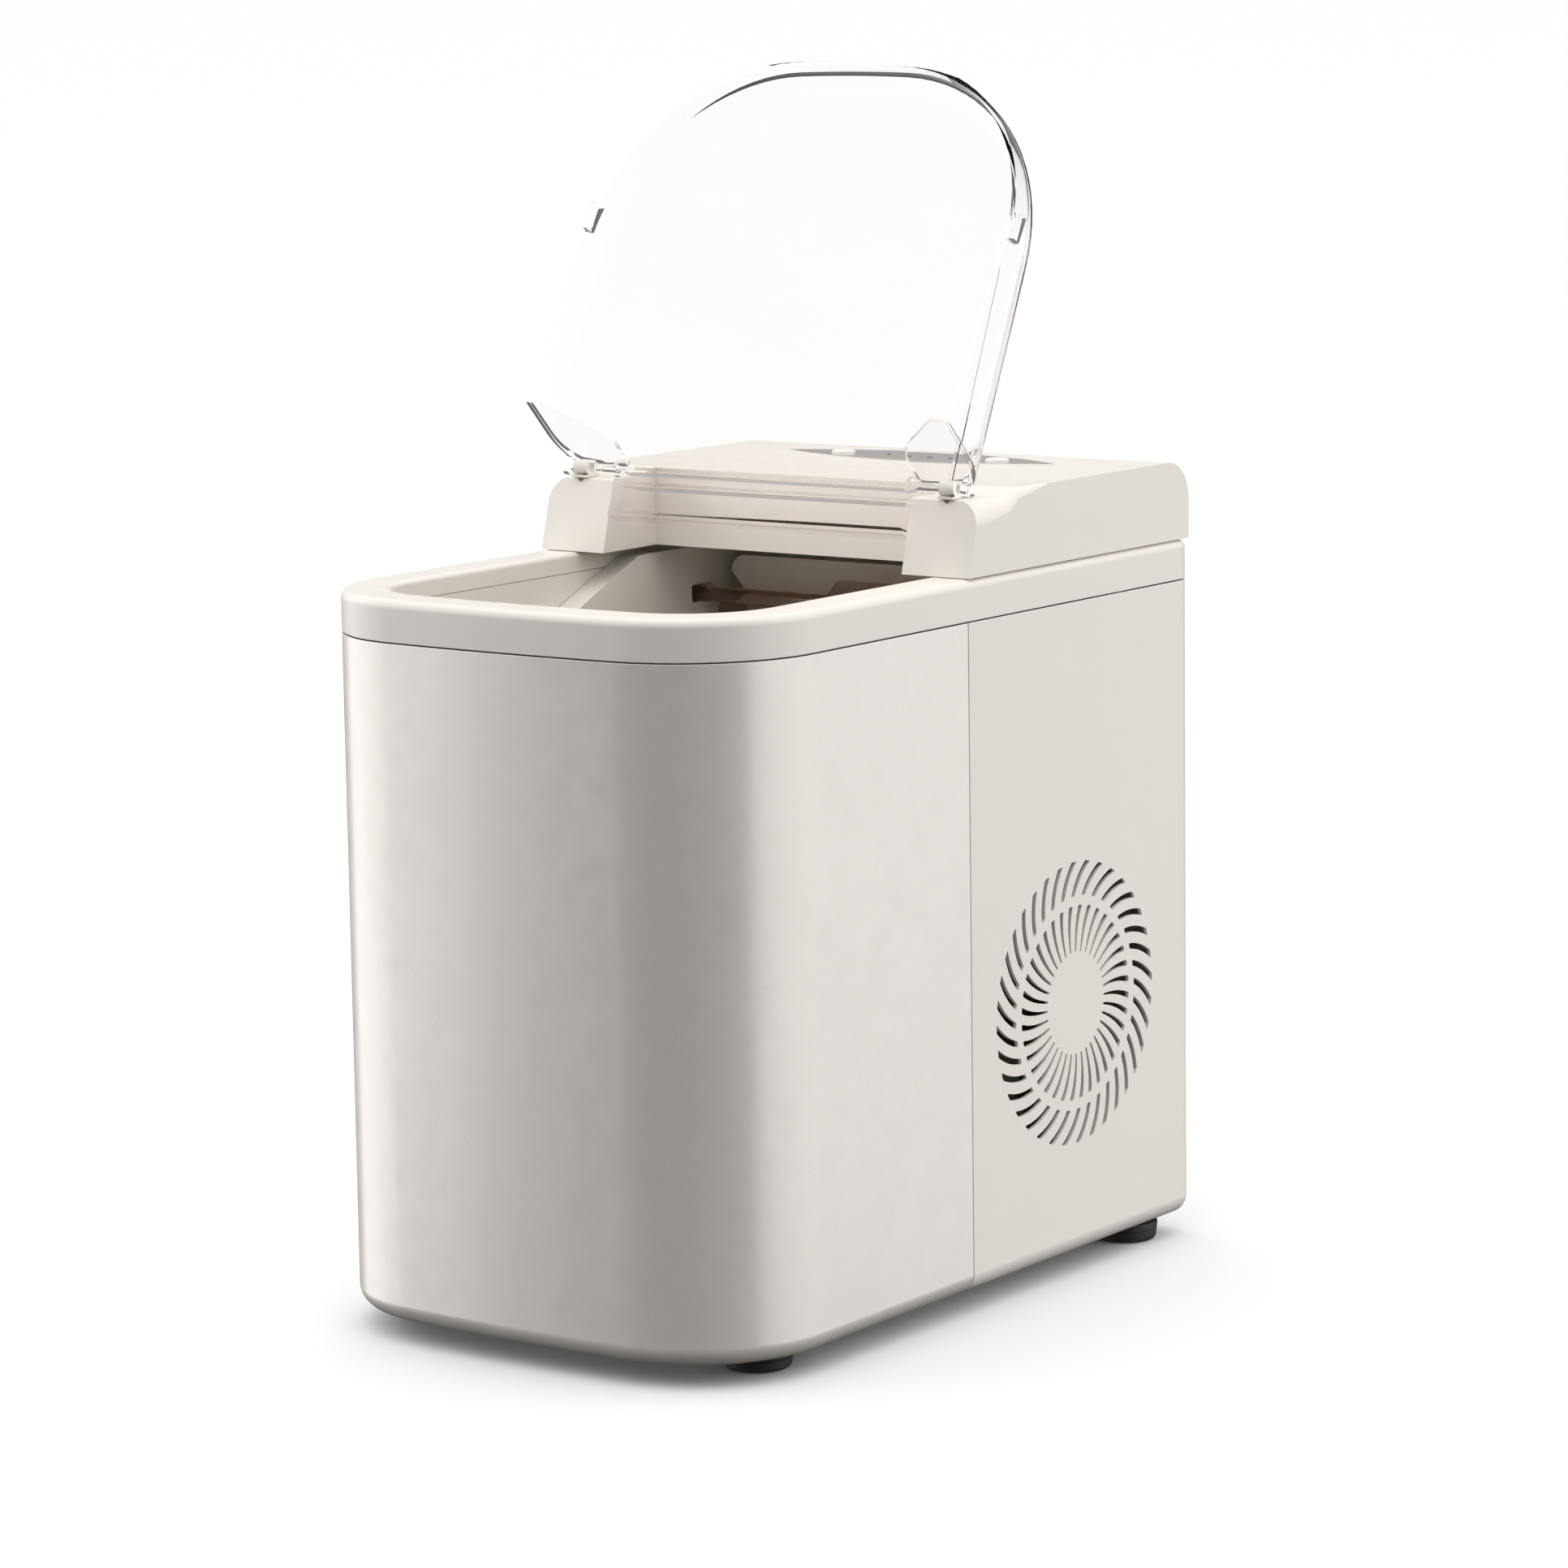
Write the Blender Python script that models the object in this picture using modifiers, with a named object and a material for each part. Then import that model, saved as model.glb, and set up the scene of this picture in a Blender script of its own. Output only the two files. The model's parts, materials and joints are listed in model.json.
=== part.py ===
"""Countertop bullet-ice maker, modelled as an assembly of separate pieces.

Frame: origin on the table under the middle of the machine, +X the machine's right side
(fan grille), -Y the rounded front with the ice bin, +Z up. All lengths here are in
millimetres and go through MM on their way into a mesh. The lid stands open at rest.
"""

import math

import bmesh
import bpy
from mathutils import Matrix, Vector

MM = 0.001
GAP = 0.35

# Driving dimensions of the case
HALF_WIDTH = 121.0
FRONT_Y = -186.0
REAR_Y = 186.0
FRONT_CORNER = 64.0
FRONT_ARC = 900.0
REAR_CORNER = 8.0
FOOT_HEIGHT = 9.0
BOTTOM_ROUND = 9.0
SHELL_TOP = 314.0
RIM_TOP = 333.0
RIM_WIDTH = 22.0
COVER_TOP = 370.0
WALL = 1.8
SEAM_Y = -2.0

# Hinge towers and the recess between them
TOWER_INNER = 84.0
TOWER_TOP = 367.0
TOWER_LEAN = 8.8
RECESS_Y = 41.0
COVER_INSET = 0.8
COVER_ROUND = 1.5
TOWER_ROUND = [
    (-4.0, 12.0, TOWER_TOP), (16.0, 12.0, TOWER_TOP), (34.0, 8.0, TOWER_TOP),
    (41.0, 6.0, COVER_TOP), (64.0, 0.8, COVER_TOP),
]
COVER_REAR_ROUND = 18.0

# Lid and its axis
HINGE_Y = 12.0
HINGE_Z = 371.6
LID_OPEN_DEG = 121.5
LID_WALL = 2.0
LID_EDGE = 334.8
LID_OVER_HINGE = 8.2
LID_SLOPE_DEG = 8.5
LID_CORNER = 94.0
FLANGE_HALF = 83.3
ROD_RADIUS = 2.0
SADDLE_X = 103.0
TAB_X, TAB_Y = 116.2, -101.0

# Ice well and the ice-making chamber behind it
WELL_WALL = 2.5
WELL_FLOOR = 118.0
WELL_REAR = 12.0
CHAMBER_FLOOR = 238.0
CHAMBER_REAR = 164.0
WELL_TOP = 323.7

# Ice-making parts
TRAY_Y = 128.0
TRAY_Z = 296.0
TRAY_RADIUS = 25.0
TRAY_HALF = 70.0
PIPE_Y = 158.6
SHOVEL_Y = 76.5
SHOVEL_Z = 306.3
SHOVEL_ROD = 3.8
CHEEK_X = 87.0
CHEEK_WALL = 11.6
TRUNNION_END = 91.0
SHOVEL_TRAVEL = 10.0
BAFFLE_Y = 96.0

# Fan grille on the right side
GRILLE_Y = 84.0
GRILLE_Z = 128.0
GRILLE_RADIUS = 66.0
GRILLE_SLOTS = 36
GRILLE_TWIST_DEG = 45.7
GRILLE_CORE = 0.35

# Base, drain and rear screws
BASE_LOW = 12.0
BASE_TOP = 14.2
DRAIN_X, DRAIN_Y = 0.0, -70.0
SCREW_PLACES = [(-96.0, 290.0), (96.0, 290.0), (-96.0, 80.0), (96.0, 80.0)]

# Control panel on the rear cover
PANEL_Y = 138.0
PANEL_HALF = 76.0
PANEL_DEPTH = 20.0
BUTTON_X = 44.0
LAMP_PLACES = (-18.0, -6.0, 6.0, 18.0)

# Ice basket
BASKET_HALF = 74.0
BASKET_FRONT = -154.0
BASKET_REAR = -14.0
BASKET_LOW = 124.0
BASKET_HIGH = 214.0


# ---------------------------------------------------------------- scene and materials


def clear_scene():
    for thing in list(bpy.data.objects):
        bpy.data.objects.remove(thing, do_unlink=True)


def collection(name):
    made = bpy.data.collections.new(name)
    bpy.context.scene.collection.children.link(made)
    return made


def finish(name, colour, roughness, metallic=0.0, alpha=1.0):
    made = bpy.data.materials.new(name)
    made.use_nodes = True
    shader = made.node_tree.nodes["Principled BSDF"]
    shader.inputs["Base Color"].default_value = (*colour, 1.0)
    shader.inputs["Roughness"].default_value = roughness
    shader.inputs["Metallic"].default_value = metallic
    shader.inputs["Alpha"].default_value = alpha
    return made


clear_scene()
PARTS = collection("ice_maker")
CUTTERS = collection("cutters")

IVORY = ((0.76, 0.72, 0.68), 0.35)
PEARL = ((0.62, 0.59, 0.56), 0.28)
LINER = ((0.70, 0.67, 0.63), 0.4)
CLEAR = ((0.92, 0.92, 0.93), 0.05, 0.0, 0.3)
SMOKE = ((0.25, 0.19, 0.15), 0.1, 0.0, 0.6)
RUBBER = ((0.03, 0.03, 0.03), 0.7)
BLACK = ((0.04, 0.04, 0.04), 0.4)
STEEL = ((0.6, 0.6, 0.62), 0.3, 1.0)
COPPER = ((0.72, 0.4, 0.25), 0.3, 1.0)
FOAM = ((0.8, 0.78, 0.7), 0.9)
GREEN = ((0.05, 0.25, 0.1), 0.5)


# ---------------------------------------------------------------- building helpers


def keep(name, mesh, look=None):
    """Link a mesh as a part with its own material, or as a hidden cutter."""
    thing = bpy.data.objects.new(name, mesh)
    if look is None:
        CUTTERS.objects.link(thing)
        thing.hide_render = True
        thing.display_type = "WIRE"
    else:
        PARTS.objects.link(thing)
        mesh.materials.append(finish(name, *look))
        mesh.shade_smooth()
        mesh.set_sharp_from_angle(angle=math.radians(30))
    return thing


def mesh_of(bm, name):
    bmesh.ops.recalc_face_normals(bm, faces=bm.faces)
    mesh = bpy.data.meshes.new(name)
    bm.to_mesh(mesh)
    bm.free()
    return mesh


def box(name, low, high, look=None, bevel=0.0, segments=2):
    bm = bmesh.new()
    bmesh.ops.create_cube(bm, size=1.0)
    size = [(b - a) * MM for a, b in zip(low, high)]
    middle = [(a + b) / 2 * MM for a, b in zip(low, high)]
    bmesh.ops.scale(bm, vec=size, verts=bm.verts)
    bmesh.ops.translate(bm, vec=middle, verts=bm.verts)
    if bevel:
        bmesh.ops.bevel(
            bm, geom=bm.edges[:], offset=bevel * MM, segments=segments,
            profile=0.5, affect="EDGES",
        )
    return keep(name, mesh_of(bm, name), look)


def cylinder(name, start, end, radius, look=None, sides=24, end_radius=None):
    a, b = Vector(start) * MM, Vector(end) * MM
    bm = bmesh.new()
    bmesh.ops.create_cone(
        bm, cap_ends=True, segments=sides, radius1=radius * MM,
        radius2=(radius if end_radius is None else end_radius) * MM, depth=(b - a).length,
    )
    turn = Vector((0, 0, 1)).rotation_difference(b - a).to_matrix().to_4x4()
    bmesh.ops.transform(bm, matrix=Matrix.Translation((a + b) / 2) @ turn, verts=bm.verts)
    return keep(name, mesh_of(bm, name), look)


def baked(curve_object, name):
    """The evaluated mesh of a curve object, welded, in world space; the curve is removed."""
    bpy.context.view_layer.update()
    graph = bpy.context.evaluated_depsgraph_get()
    mesh = bpy.data.meshes.new_from_object(curve_object.evaluated_get(graph))
    mesh.transform(curve_object.matrix_world)
    bpy.data.objects.remove(curve_object, do_unlink=True)
    bm = bmesh.new()
    bm.from_mesh(mesh)
    bpy.data.meshes.remove(mesh)
    bmesh.ops.remove_doubles(bm, verts=bm.verts, dist=1e-6)
    return mesh_of(bm, name)


TURNS = {
    "X": Matrix(((0, 0, 1, 0), (1, 0, 0, 0), (0, 1, 0, 0), (0, 0, 0, 1))),
    "Y": Matrix(((1, 0, 0, 0), (0, 0, -1, 0), (0, 1, 0, 0), (0, 0, 0, 1))),
    "Z": Matrix.Identity(4),
}


def prism(name, outlines, low, high, axis="Z", look=None):
    """Flat outlines (the first outside, the rest holes) drawn out between two heights along an axis.

    The outline's coordinates are (x, y) for Z, (y, z) for X and (x, z) for Y.
    """
    curve = bpy.data.curves.new(name, "CURVE")
    curve.dimensions = "2D"
    curve.fill_mode = "BOTH"
    curve.extrude = (high - low) / 2 * MM
    for outline in outlines:
        spline = curve.splines.new("POLY")
        spline.points.add(len(outline) - 1)
        spline.use_cyclic_u = True
        for point, (u, v) in zip(spline.points, outline):
            point.co = (u * MM, v * MM, 0, 1)
    thing = bpy.data.objects.new(name, curve)
    bpy.context.scene.collection.objects.link(thing)
    middle = (low + high) / 2 * MM
    shift = {"X": (middle, 0, 0), "Y": (0, middle, 0), "Z": (0, 0, middle)}[axis]
    thing.matrix_world = Matrix.Translation(shift) @ TURNS[axis]
    return keep(name, baked(thing, name), look)


def tube(name, points, radius, look=None, resolution=2):
    curve = bpy.data.curves.new(name, "CURVE")
    curve.dimensions = "3D"
    curve.bevel_depth = radius * MM
    curve.bevel_resolution = resolution
    curve.use_fill_caps = True
    spline = curve.splines.new("POLY")
    spline.points.add(len(points) - 1)
    for point, at in zip(spline.points, points):
        point.co = (*(Vector(at) * MM), 1)
    thing = bpy.data.objects.new(name, curve)
    bpy.context.scene.collection.objects.link(thing)
    return keep(name, baked(thing, name), look)


def turned(name, profile, at, look=None, steps=24, turn=None):
    """A profile of (radius, height), listed from top to bottom, turned about Z through a point."""
    bm = bmesh.new()
    verts = [bm.verts.new((r * MM, 0, z * MM)) for r, z in profile]
    for a, b in zip(verts, verts[1:]):
        bm.edges.new((a, b))
    if profile[0][0] > 0:
        bm.edges.new((verts[-1], verts[0]))
    mesh = bpy.data.meshes.new(name)
    bm.to_mesh(mesh)
    bm.free()
    thing = keep(name, mesh, look)
    screw = thing.modifiers.new("turn", "SCREW")
    screw.steps = screw.render_steps = steps
    screw.use_merge_vertices = True
    screw.merge_threshold = 1e-5
    thing.location = Vector(at) * MM
    if turn:
        thing.rotation_euler = turn
    return thing


def grid_skin(name, rows, look=None, ring=False, loop=False, cap_first=False, cap_last=False):
    """A skin through rows of points. ring closes each row, loop joins the last row to the first."""
    bm = bmesh.new()
    grid = [[bm.verts.new(Vector(p) * MM) for p in row] for row in rows]
    pairs = list(zip(grid, grid[1:])) + ([(grid[-1], grid[0])] if loop else [])
    for low, high in pairs:
        count = len(low)
        for i in range(count if ring else count - 1):
            j = (i + 1) % count
            bm.faces.new((low[i], low[j], high[j], high[i]))
    if cap_first:
        bm.faces.new(grid[0])
    if cap_last:
        bm.faces.new(grid[-1])
    return keep(name, mesh_of(bm, name), look)


def combine(target, operation, pieces):
    for piece in pieces:
        step = target.modifiers.new(piece.name, "BOOLEAN")
        step.operation = operation
        step.object = piece
        step.solver = "EXACT"
    return target


def cut(target, *pieces):
    return combine(target, "DIFFERENCE", pieces)


def fuse(target, *pieces):
    return combine(target, "UNION", pieces)


def thicken(thing, wall):
    step = thing.modifiers.new("wall", "SOLIDIFY")
    step.thickness = wall * MM
    step.offset = -1.0
    step.use_even_offset = True
    return thing


def pivot_after(thing, at):
    """Bake an object's modifiers, then put its origin on its joint's axis."""
    bpy.context.view_layer.update()
    graph = bpy.context.evaluated_depsgraph_get()
    mesh = bpy.data.meshes.new_from_object(thing.evaluated_get(graph))
    place = Vector(at) * MM
    mesh.transform(Matrix.Translation(-place) @ thing.matrix_world)
    thing.modifiers.clear()
    thing.matrix_world = Matrix.Translation(place)
    thing.data = mesh


def joined(name, look, pieces):
    """Several separate closed solids in one object."""
    bm = bmesh.new()
    for piece in pieces:
        piece.data.transform(piece.matrix_world)
        bm.from_mesh(piece.data)
        bpy.data.objects.remove(piece, do_unlink=True)
    return keep(name, mesh_of(bm, name), look)


def arc(centre, radius, start_deg, end_deg, steps):
    """Points on an arc, both ends included."""
    out = []
    for i in range(steps + 1):
        turn = math.radians(start_deg + (end_deg - start_deg) * i / steps)
        out.append((centre[0] + radius * math.cos(turn), centre[1] + radius * math.sin(turn)))
    return out


# ---------------------------------------------------------------- plan outline of the case


def front_curve(inset, corner_radius=FRONT_CORNER, corner_steps=7, arc_steps=4):
    """The rounded front, from the right side round to the left side."""
    half = HALF_WIDTH - inset
    corner = max(corner_radius - inset, 4.0)
    big = FRONT_ARC - inset
    middle_y = FRONT_Y + FRONT_ARC
    corner_x = half - corner
    corner_y = middle_y - math.sqrt((big - corner) ** 2 - corner_x**2)
    end = math.degrees(math.atan2(corner_y - middle_y, corner_x))
    right = arc((corner_x, corner_y), corner, 0, end, corner_steps)
    across = arc((0, middle_y), big, end, -180 - end, arc_steps)[1:-1]
    left = [(-x, y) for x, y in reversed(right)]
    return right + across + left


def open_front(inset, rear_y, corner_radius=FRONT_CORNER):
    """The front curve with straight sides back to rear_y."""
    half = HALF_WIDTH - inset
    return [(half, rear_y), *front_curve(inset, corner_radius), (-half, rear_y)]


def open_rear(inset, front_y, steps=3):
    """The rear half: left side, square back with rounded corners, right side."""
    half = HALF_WIDTH - inset
    corner = max(REAR_CORNER - inset, 1.0)
    back = REAR_Y - inset
    right = arc((half - corner, back - corner), corner, 90, 0, steps)
    left = [(-x, y) for x, y in reversed(right)]
    return [(-half, front_y), *left, *right, (half, front_y)]


def full_outline(inset):
    return open_front(inset, 0.0) + open_rear(inset, 0.0)[1:-1]


def at_height(points, z):
    return [(x, y, z) for x, y in points]


# ---------------------------------------------------------------- case


def casing_rows(path, lip=12.0, steps=3):
    """Rows of a casing skin: a turned-in lip under the case, a rounded edge, then the tall wall."""
    rows = [at_height(path(lip), FOOT_HEIGHT)]
    for i in range(steps + 1):
        turn = math.radians(90 * i / steps)
        inset = BOTTOM_ROUND * (1 - math.sin(turn))
        height = FOOT_HEIGHT + BOTTOM_ROUND * (1 - math.cos(turn))
        rows.append(at_height(path(inset), height))
    rows.append(at_height(path(0.0), SHELL_TOP))
    return rows


def make_front_shell():
    rows = casing_rows(lambda inset: open_front(inset, SEAM_Y - 0.3))
    shell = grid_skin("front_shell", [list(reversed(row)) for row in rows], PEARL)
    thicken(shell, WALL)


def swirl_slot(index, inner, outer, inner_width, outer_width, steps):
    """One grille slot between two radii (as parts of the grille's radius), as (y, z) points."""
    middle = 360.0 / GRILLE_SLOTS * index
    sides = [[], []]
    for i in range(steps + 1):
        part = inner + (outer - inner) * i / steps
        width = inner_width + (outer_width - inner_width) * i / steps
        turn = middle - GRILLE_TWIST_DEG * (part - GRILLE_CORE) ** 2
        for side, sign in zip(sides, (-1, 1)):
            angle = math.radians(turn + sign * width / 2)
            radius = part * GRILLE_RADIUS
            side.append(
                (GRILLE_Y + radius * math.cos(angle), GRILLE_Z + radius * math.sin(angle))
            )
    return sides[0] + list(reversed(sides[1]))


def make_rear_housing():
    rows = casing_rows(lambda inset: open_rear(inset, SEAM_Y + 0.3))
    housing = thicken(grid_skin("rear_housing", [list(reversed(r)) for r in rows], IVORY), WALL)
    low, high = HALF_WIDTH - 4, HALF_WIDTH + 4
    slots = []
    for i in range(GRILLE_SLOTS):
        slots.append(prism("slot", [swirl_slot(i, 0.757, 1.0, 3.4, 3.6, 2)], low, high, "X"))
        slots.append(prism("slot", [swirl_slot(i, 0.36, 0.69, 2.4, 3.9, 2)], low, high, "X"))
    cut(housing, joined("grille_slots", None, slots))
    vents = [
        box("vent", (-high, 40 + 62 * column, 60 + 10 * row),
            (-low, 92 + 62 * column, 64 + 10 * row))
        for column in (0, 1)
        for row in range(12)
    ]
    cut(housing, joined("intake_vents", None, vents))
    inlet = box("inlet_hole", (-88, REAR_Y - 6, 30), (-58, REAR_Y + 6, 54))
    screws = [
        cylinder("screw_hole", (x, REAR_Y - 6, z), (x, REAR_Y + 6, z), 4.3, sides=16)
        for x, z in SCREW_PLACES
    ]
    cut(housing, inlet, joined("rear_holes", None, screws))


def make_base_tray():
    outline = full_outline(6.0)
    tray = prism("base_tray", [outline], BASE_LOW, BASE_TOP, look=IVORY)
    hole = cylinder("drain_hole", (DRAIN_X, DRAIN_Y, 0), (DRAIN_X, DRAIN_Y, 30), 11.0)
    cut(tray, hole)


def make_top_frame():
    section = [
        (0.0, SHELL_TOP + 0.5), (0.0, RIM_TOP - 4.0), (1.2, RIM_TOP - 1.2), (4.0, RIM_TOP),
        (RIM_WIDTH - 2.0, RIM_TOP), (RIM_WIDTH - 0.5, RIM_TOP - 0.5), (RIM_WIDTH, RIM_TOP - 2.0),
        (RIM_WIDTH, WELL_TOP + 0.3), (RIM_WIDTH - WELL_WALL, WELL_TOP + 0.3),
        (RIM_WIDTH - WELL_WALL, RIM_TOP - 3.0), (WALL, RIM_TOP - 4.5), (WALL, SHELL_TOP + 0.5),
    ]
    rows = [at_height(full_outline(inset), z) for inset, z in section]
    grid_skin("top_frame", rows, IVORY, ring=True, loop=True)


def make_foot(name, x, y):
    profile = [(0, 11.6), (6, 11.6), (6, 8.6), (14.5, 8.6), (15.5, 7.6), (14.8, 0.6), (14.2, 0), (0, 0)]
    turned(name, profile, (x, y, 0), RUBBER, steps=24)


def make_drain():
    x, y = DRAIN_X, DRAIN_Y
    turned(
        "drain_spout",
        [(10.2, 0), (10.2, -101.5), (8.0, -101.5), (8.0, 0)],
        (x, y, WELL_FLOOR - GAP), LINER, steps=20,
    )
    cap = turned(
        "drain_cap",
        [(0, 13.5), (7.2, 13.5), (7.6, 12.9), (7.6, 10.5), (15, 10.5), (15, 4.2), (14, 3.2),
         (0, 3.2)],
        (x, y, 0), IVORY, steps=20,
    )
    bar = box("cap_grip", (x - 12, y - 1.6, 1.6), (x + 12, y + 1.6, 4.0))
    fuse(cap, bar)


# ---------------------------------------------------------------- rear cover


def hood(name, x_low, x_high, y_front, inset, round_radius, lean, look=None):
    """The cover's side profile drawn across, with its long outer top edges rounded."""
    top = COVER_TOP - inset
    rear = REAR_Y - COVER_INSET - inset
    bottom = RIM_TOP + GAP - inset
    centre = (rear - (COVER_REAR_ROUND - inset), top - (COVER_REAR_ROUND - inset))
    fillet = arc(centre, COVER_REAR_ROUND - inset, 90, 0, 4)
    outline = [(y_front, bottom)]
    if lean:
        outline += [
            (y_front + TOWER_LEAN, TOWER_TOP - inset),
            (RECESS_Y - 7.0 + inset, TOWER_TOP - inset),
            (RECESS_Y, top),
        ]
    else:
        outline += [(y_front, top)]
    outline += [*fillet, (rear, bottom)]
    thing = prism(name, [outline], x_low, x_high, "X")
    bm = bmesh.new()
    bm.from_mesh(thing.data)
    outer = (HALF_WIDTH - COVER_INSET - inset) * MM
    near = 0.01 * MM
    edges = []
    for edge in bm.edges:
        a, b = (v.co for v in edge.verts)
        on_side = abs(abs(a.x) - outer) < near and abs(a.x - b.x) < near
        faces = [abs(f.normal.x) for f in edge.link_faces]
        wraps = on_side and len(faces) == 2 and min(faces) < 0.5 < max(faces)
        low = max(a.z, b.z) < (bottom + 1.0) * MM
        front = min(a.z, b.z) < (bottom + 1.0) * MM and min(a.y, b.y) < (y_front + 0.1) * MM
        if wraps and not low and not front:
            edges.append(edge)
    bmesh.ops.bevel(
        bm, geom=edges, offset=round_radius * MM, segments=3, profile=0.5, affect="EDGES"
    )
    mesh = mesh_of(bm, name)
    bpy.data.objects.remove(thing, do_unlink=True)
    return keep(name, mesh, look)


def tower_shaving(sign):
    """What comes off a tower's outer top corner: its rounding fades out along the cover."""
    side = HALF_WIDTH - COVER_INSET
    rows = []
    for y, radius, top in TOWER_ROUND:
        ring = arc((side - radius, top - radius), radius, 90, 0, 5)
        ring += [(side + 3, top - radius), (side + 3, top + 5), (side - radius, top + 5)]
        rows.append([(sign * x, y, z) for x, z in ring])
    return grid_skin("tower_shaving", rows, ring=True, cap_first=True, cap_last=True)


def make_top_cover():
    side = HALF_WIDTH - COVER_INSET
    inner = side - 2.2
    cover = hood("top_cover", -side, side, 0.0, 0.0, COVER_ROUND, True, IVORY)
    rear_room = hood("rear_room", -inner, inner, RECESS_Y + 2.2, 2.2, 0.6, False)
    rooms = []
    for name, low, high in (
        ("left_room", -inner, -TOWER_INNER - 2.2),
        ("right_room", TOWER_INNER + 2.2, inner),
    ):
        rooms.append(
            prism(
                name,
                [[(2.4, RIM_TOP - 2), (2.4 + TOWER_LEAN, TOWER_TOP - 2.2),
                  (RECESS_Y + 4.0, TOWER_TOP - 2.2), (RECESS_Y + 4.0, RIM_TOP - 2)]],
                low + (1.0 if low < 0 else 0), high - (0 if low < 0 else 1.0), "X",
            )
        )
    corner_keepers = [
        box("left_keep", (-side - 1, -5, TOWER_TOP - 8), (-side + 7, 60, COVER_TOP + 5)),
        box("right_keep", (side - 7, -5, TOWER_TOP - 8), (side + 1, 60, COVER_TOP + 5)),
    ]
    for room, keeper in zip(rooms, corner_keepers):
        cut(room, keeper)
    recess = box(
        "recess", (-TOWER_INNER, -20, RIM_TOP - 10), (TOWER_INNER, RECESS_Y, COVER_TOP + 20)
    )
    notches = [
        cylinder("notch", (x, TOWER_LEAN - 3, TOWER_TOP), (x, TOWER_LEAN + 2.2, TOWER_TOP), 1.8,
                 sides=12)
        for x in (-SADDLE_X, SADDLE_X)
    ]
    buttons = [
        cylinder("button_hole", (x, PANEL_Y, COVER_TOP - 9), (x, PANEL_Y, COVER_TOP + 9), 6.2)
        for x in (-BUTTON_X, BUTTON_X)
    ]
    pocket = prism(
        "panel_pocket", [lens_outline(0.3)], COVER_TOP - 0.8, COVER_TOP + 5, "Z"
    )
    lamps = joined("lamp_holes", None, [
        cylinder("lamp_hole", (x, PANEL_Y, COVER_TOP - 9), (x, PANEL_Y, COVER_TOP + 9), 1.9,
                 sides=12)
        for x in LAMP_PLACES
    ])
    cut(
        cover, rear_room, *rooms, recess, joined("notches", None, notches), pocket,
        joined("button_holes", None, buttons), lamps, tower_shaving(-1), tower_shaving(1),
    )


def lens_outline(grow=0.0):
    """The control panel's pointed oval: two equal arcs."""
    half, depth = PANEL_HALF + grow, PANEL_DEPTH + grow
    radius = (half**2 + depth**2) / (2 * depth)
    reach = math.degrees(math.asin(half / radius))
    upper = arc((0, PANEL_Y + depth - radius), radius, 90 - reach, 90 + reach, 12)
    lower = arc((0, PANEL_Y - depth + radius), radius, 270 - reach, 270 + reach, 12)
    return upper + lower[1:-1]


def make_panel():
    low, high = COVER_TOP - 0.5, COVER_TOP + 0.2
    rings = [lens_outline()]
    for x in (-BUTTON_X, BUTTON_X):
        rings.append(arc((x, PANEL_Y), 6.4, 0, 345, 23))
    for x in LAMP_PLACES:
        rings.append(arc((x, PANEL_Y), 2.0, 0, 330, 11))
    prism("control_panel", rings, low, high, "Z", STEEL)
    for name, x in (("power_button", BUTTON_X), ("select_button", -BUTTON_X)):
        profile = [(0, 1.4), (4.6, 1.3), (5.6, 0.6), (5.8, 0.0), (5.8, -4.0), (7.4, -4.0),
                   (7.4, -5.2), (0, -5.2)]
        turned(name, profile, (x, PANEL_Y, COVER_TOP), IVORY, steps=20)
    guide = box("light_guide", (-22, PANEL_Y - 3, COVER_TOP - 6.4),
                (22, PANEL_Y + 3, COVER_TOP - 4.4), CLEAR)
    pipes = [
        cylinder("light_pipe", (x, PANEL_Y, COVER_TOP - 5), (x, PANEL_Y, COVER_TOP + 0.5), 1.6,
                 sides=12)
        for x in LAMP_PLACES
    ]
    fuse(guide, *pipes)


def make_control_board():
    x, y, top = 66.0, PANEL_Y, COVER_TOP - 7.4
    board = box("control_board", (-x, y - 26, top - 1.6), (x, y + 26, top), GREEN)
    switches = [
        box("switch", (s * BUTTON_X - 3, y - 3, top - 0.5), (s * BUTTON_X + 3, y + 3, top + 0.2))
        for s in (-1, 1)
    ]
    relay = box("relay", (-10, y + 8, top - 13), (12, y + 22, top - 1))
    chip = box("chip", (20, y - 18, top - 9), (46, y - 4, top - 1))
    fuse(board, *switches, relay, chip)


# ---------------------------------------------------------------- lid and hinge


def lid_end_y(z):
    """Where the lid stops at a height, just ahead of the leaning tower faces."""
    return -3.0 + TOWER_LEAN * (z - RIM_TOP) / (TOWER_TOP - RIM_TOP)


# The lid's wall from its edge up to its window, as (inset, part of the full height)
LID_SECTION = [
    (2.5, 0.0), (2.5, 0.5), (4.4, 0.69), (8.6, 0.84), (14.0, 0.94), (22.4, 0.97), (23.7, 1.0),
]


def lid_top(y):
    """The closed lid's top slopes down from over the hinge to the front."""
    rise = math.tan(math.radians(LID_SLOPE_DEG))
    return HINGE_Z + LID_OVER_HINGE + rise * (y - HINGE_Y)


def lid_row(inset, part):
    end = lid_end_y(LID_EDGE + part * (lid_top(HINGE_Y) - LID_EDGE))
    return [
        (x, y, LID_EDGE + part * (lid_top(y) - LID_EDGE))
        for x, y in open_front(inset, end, LID_CORNER)
    ]


def lean_back(thing):
    """Shear a wall so that it lies parallel to the towers' leaning faces."""
    for vert in thing.data.vertices:
        vert.co.y += TOWER_LEAN * (vert.co.z - RIM_TOP * MM) / (TOWER_TOP - RIM_TOP)
    return thing


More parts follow.
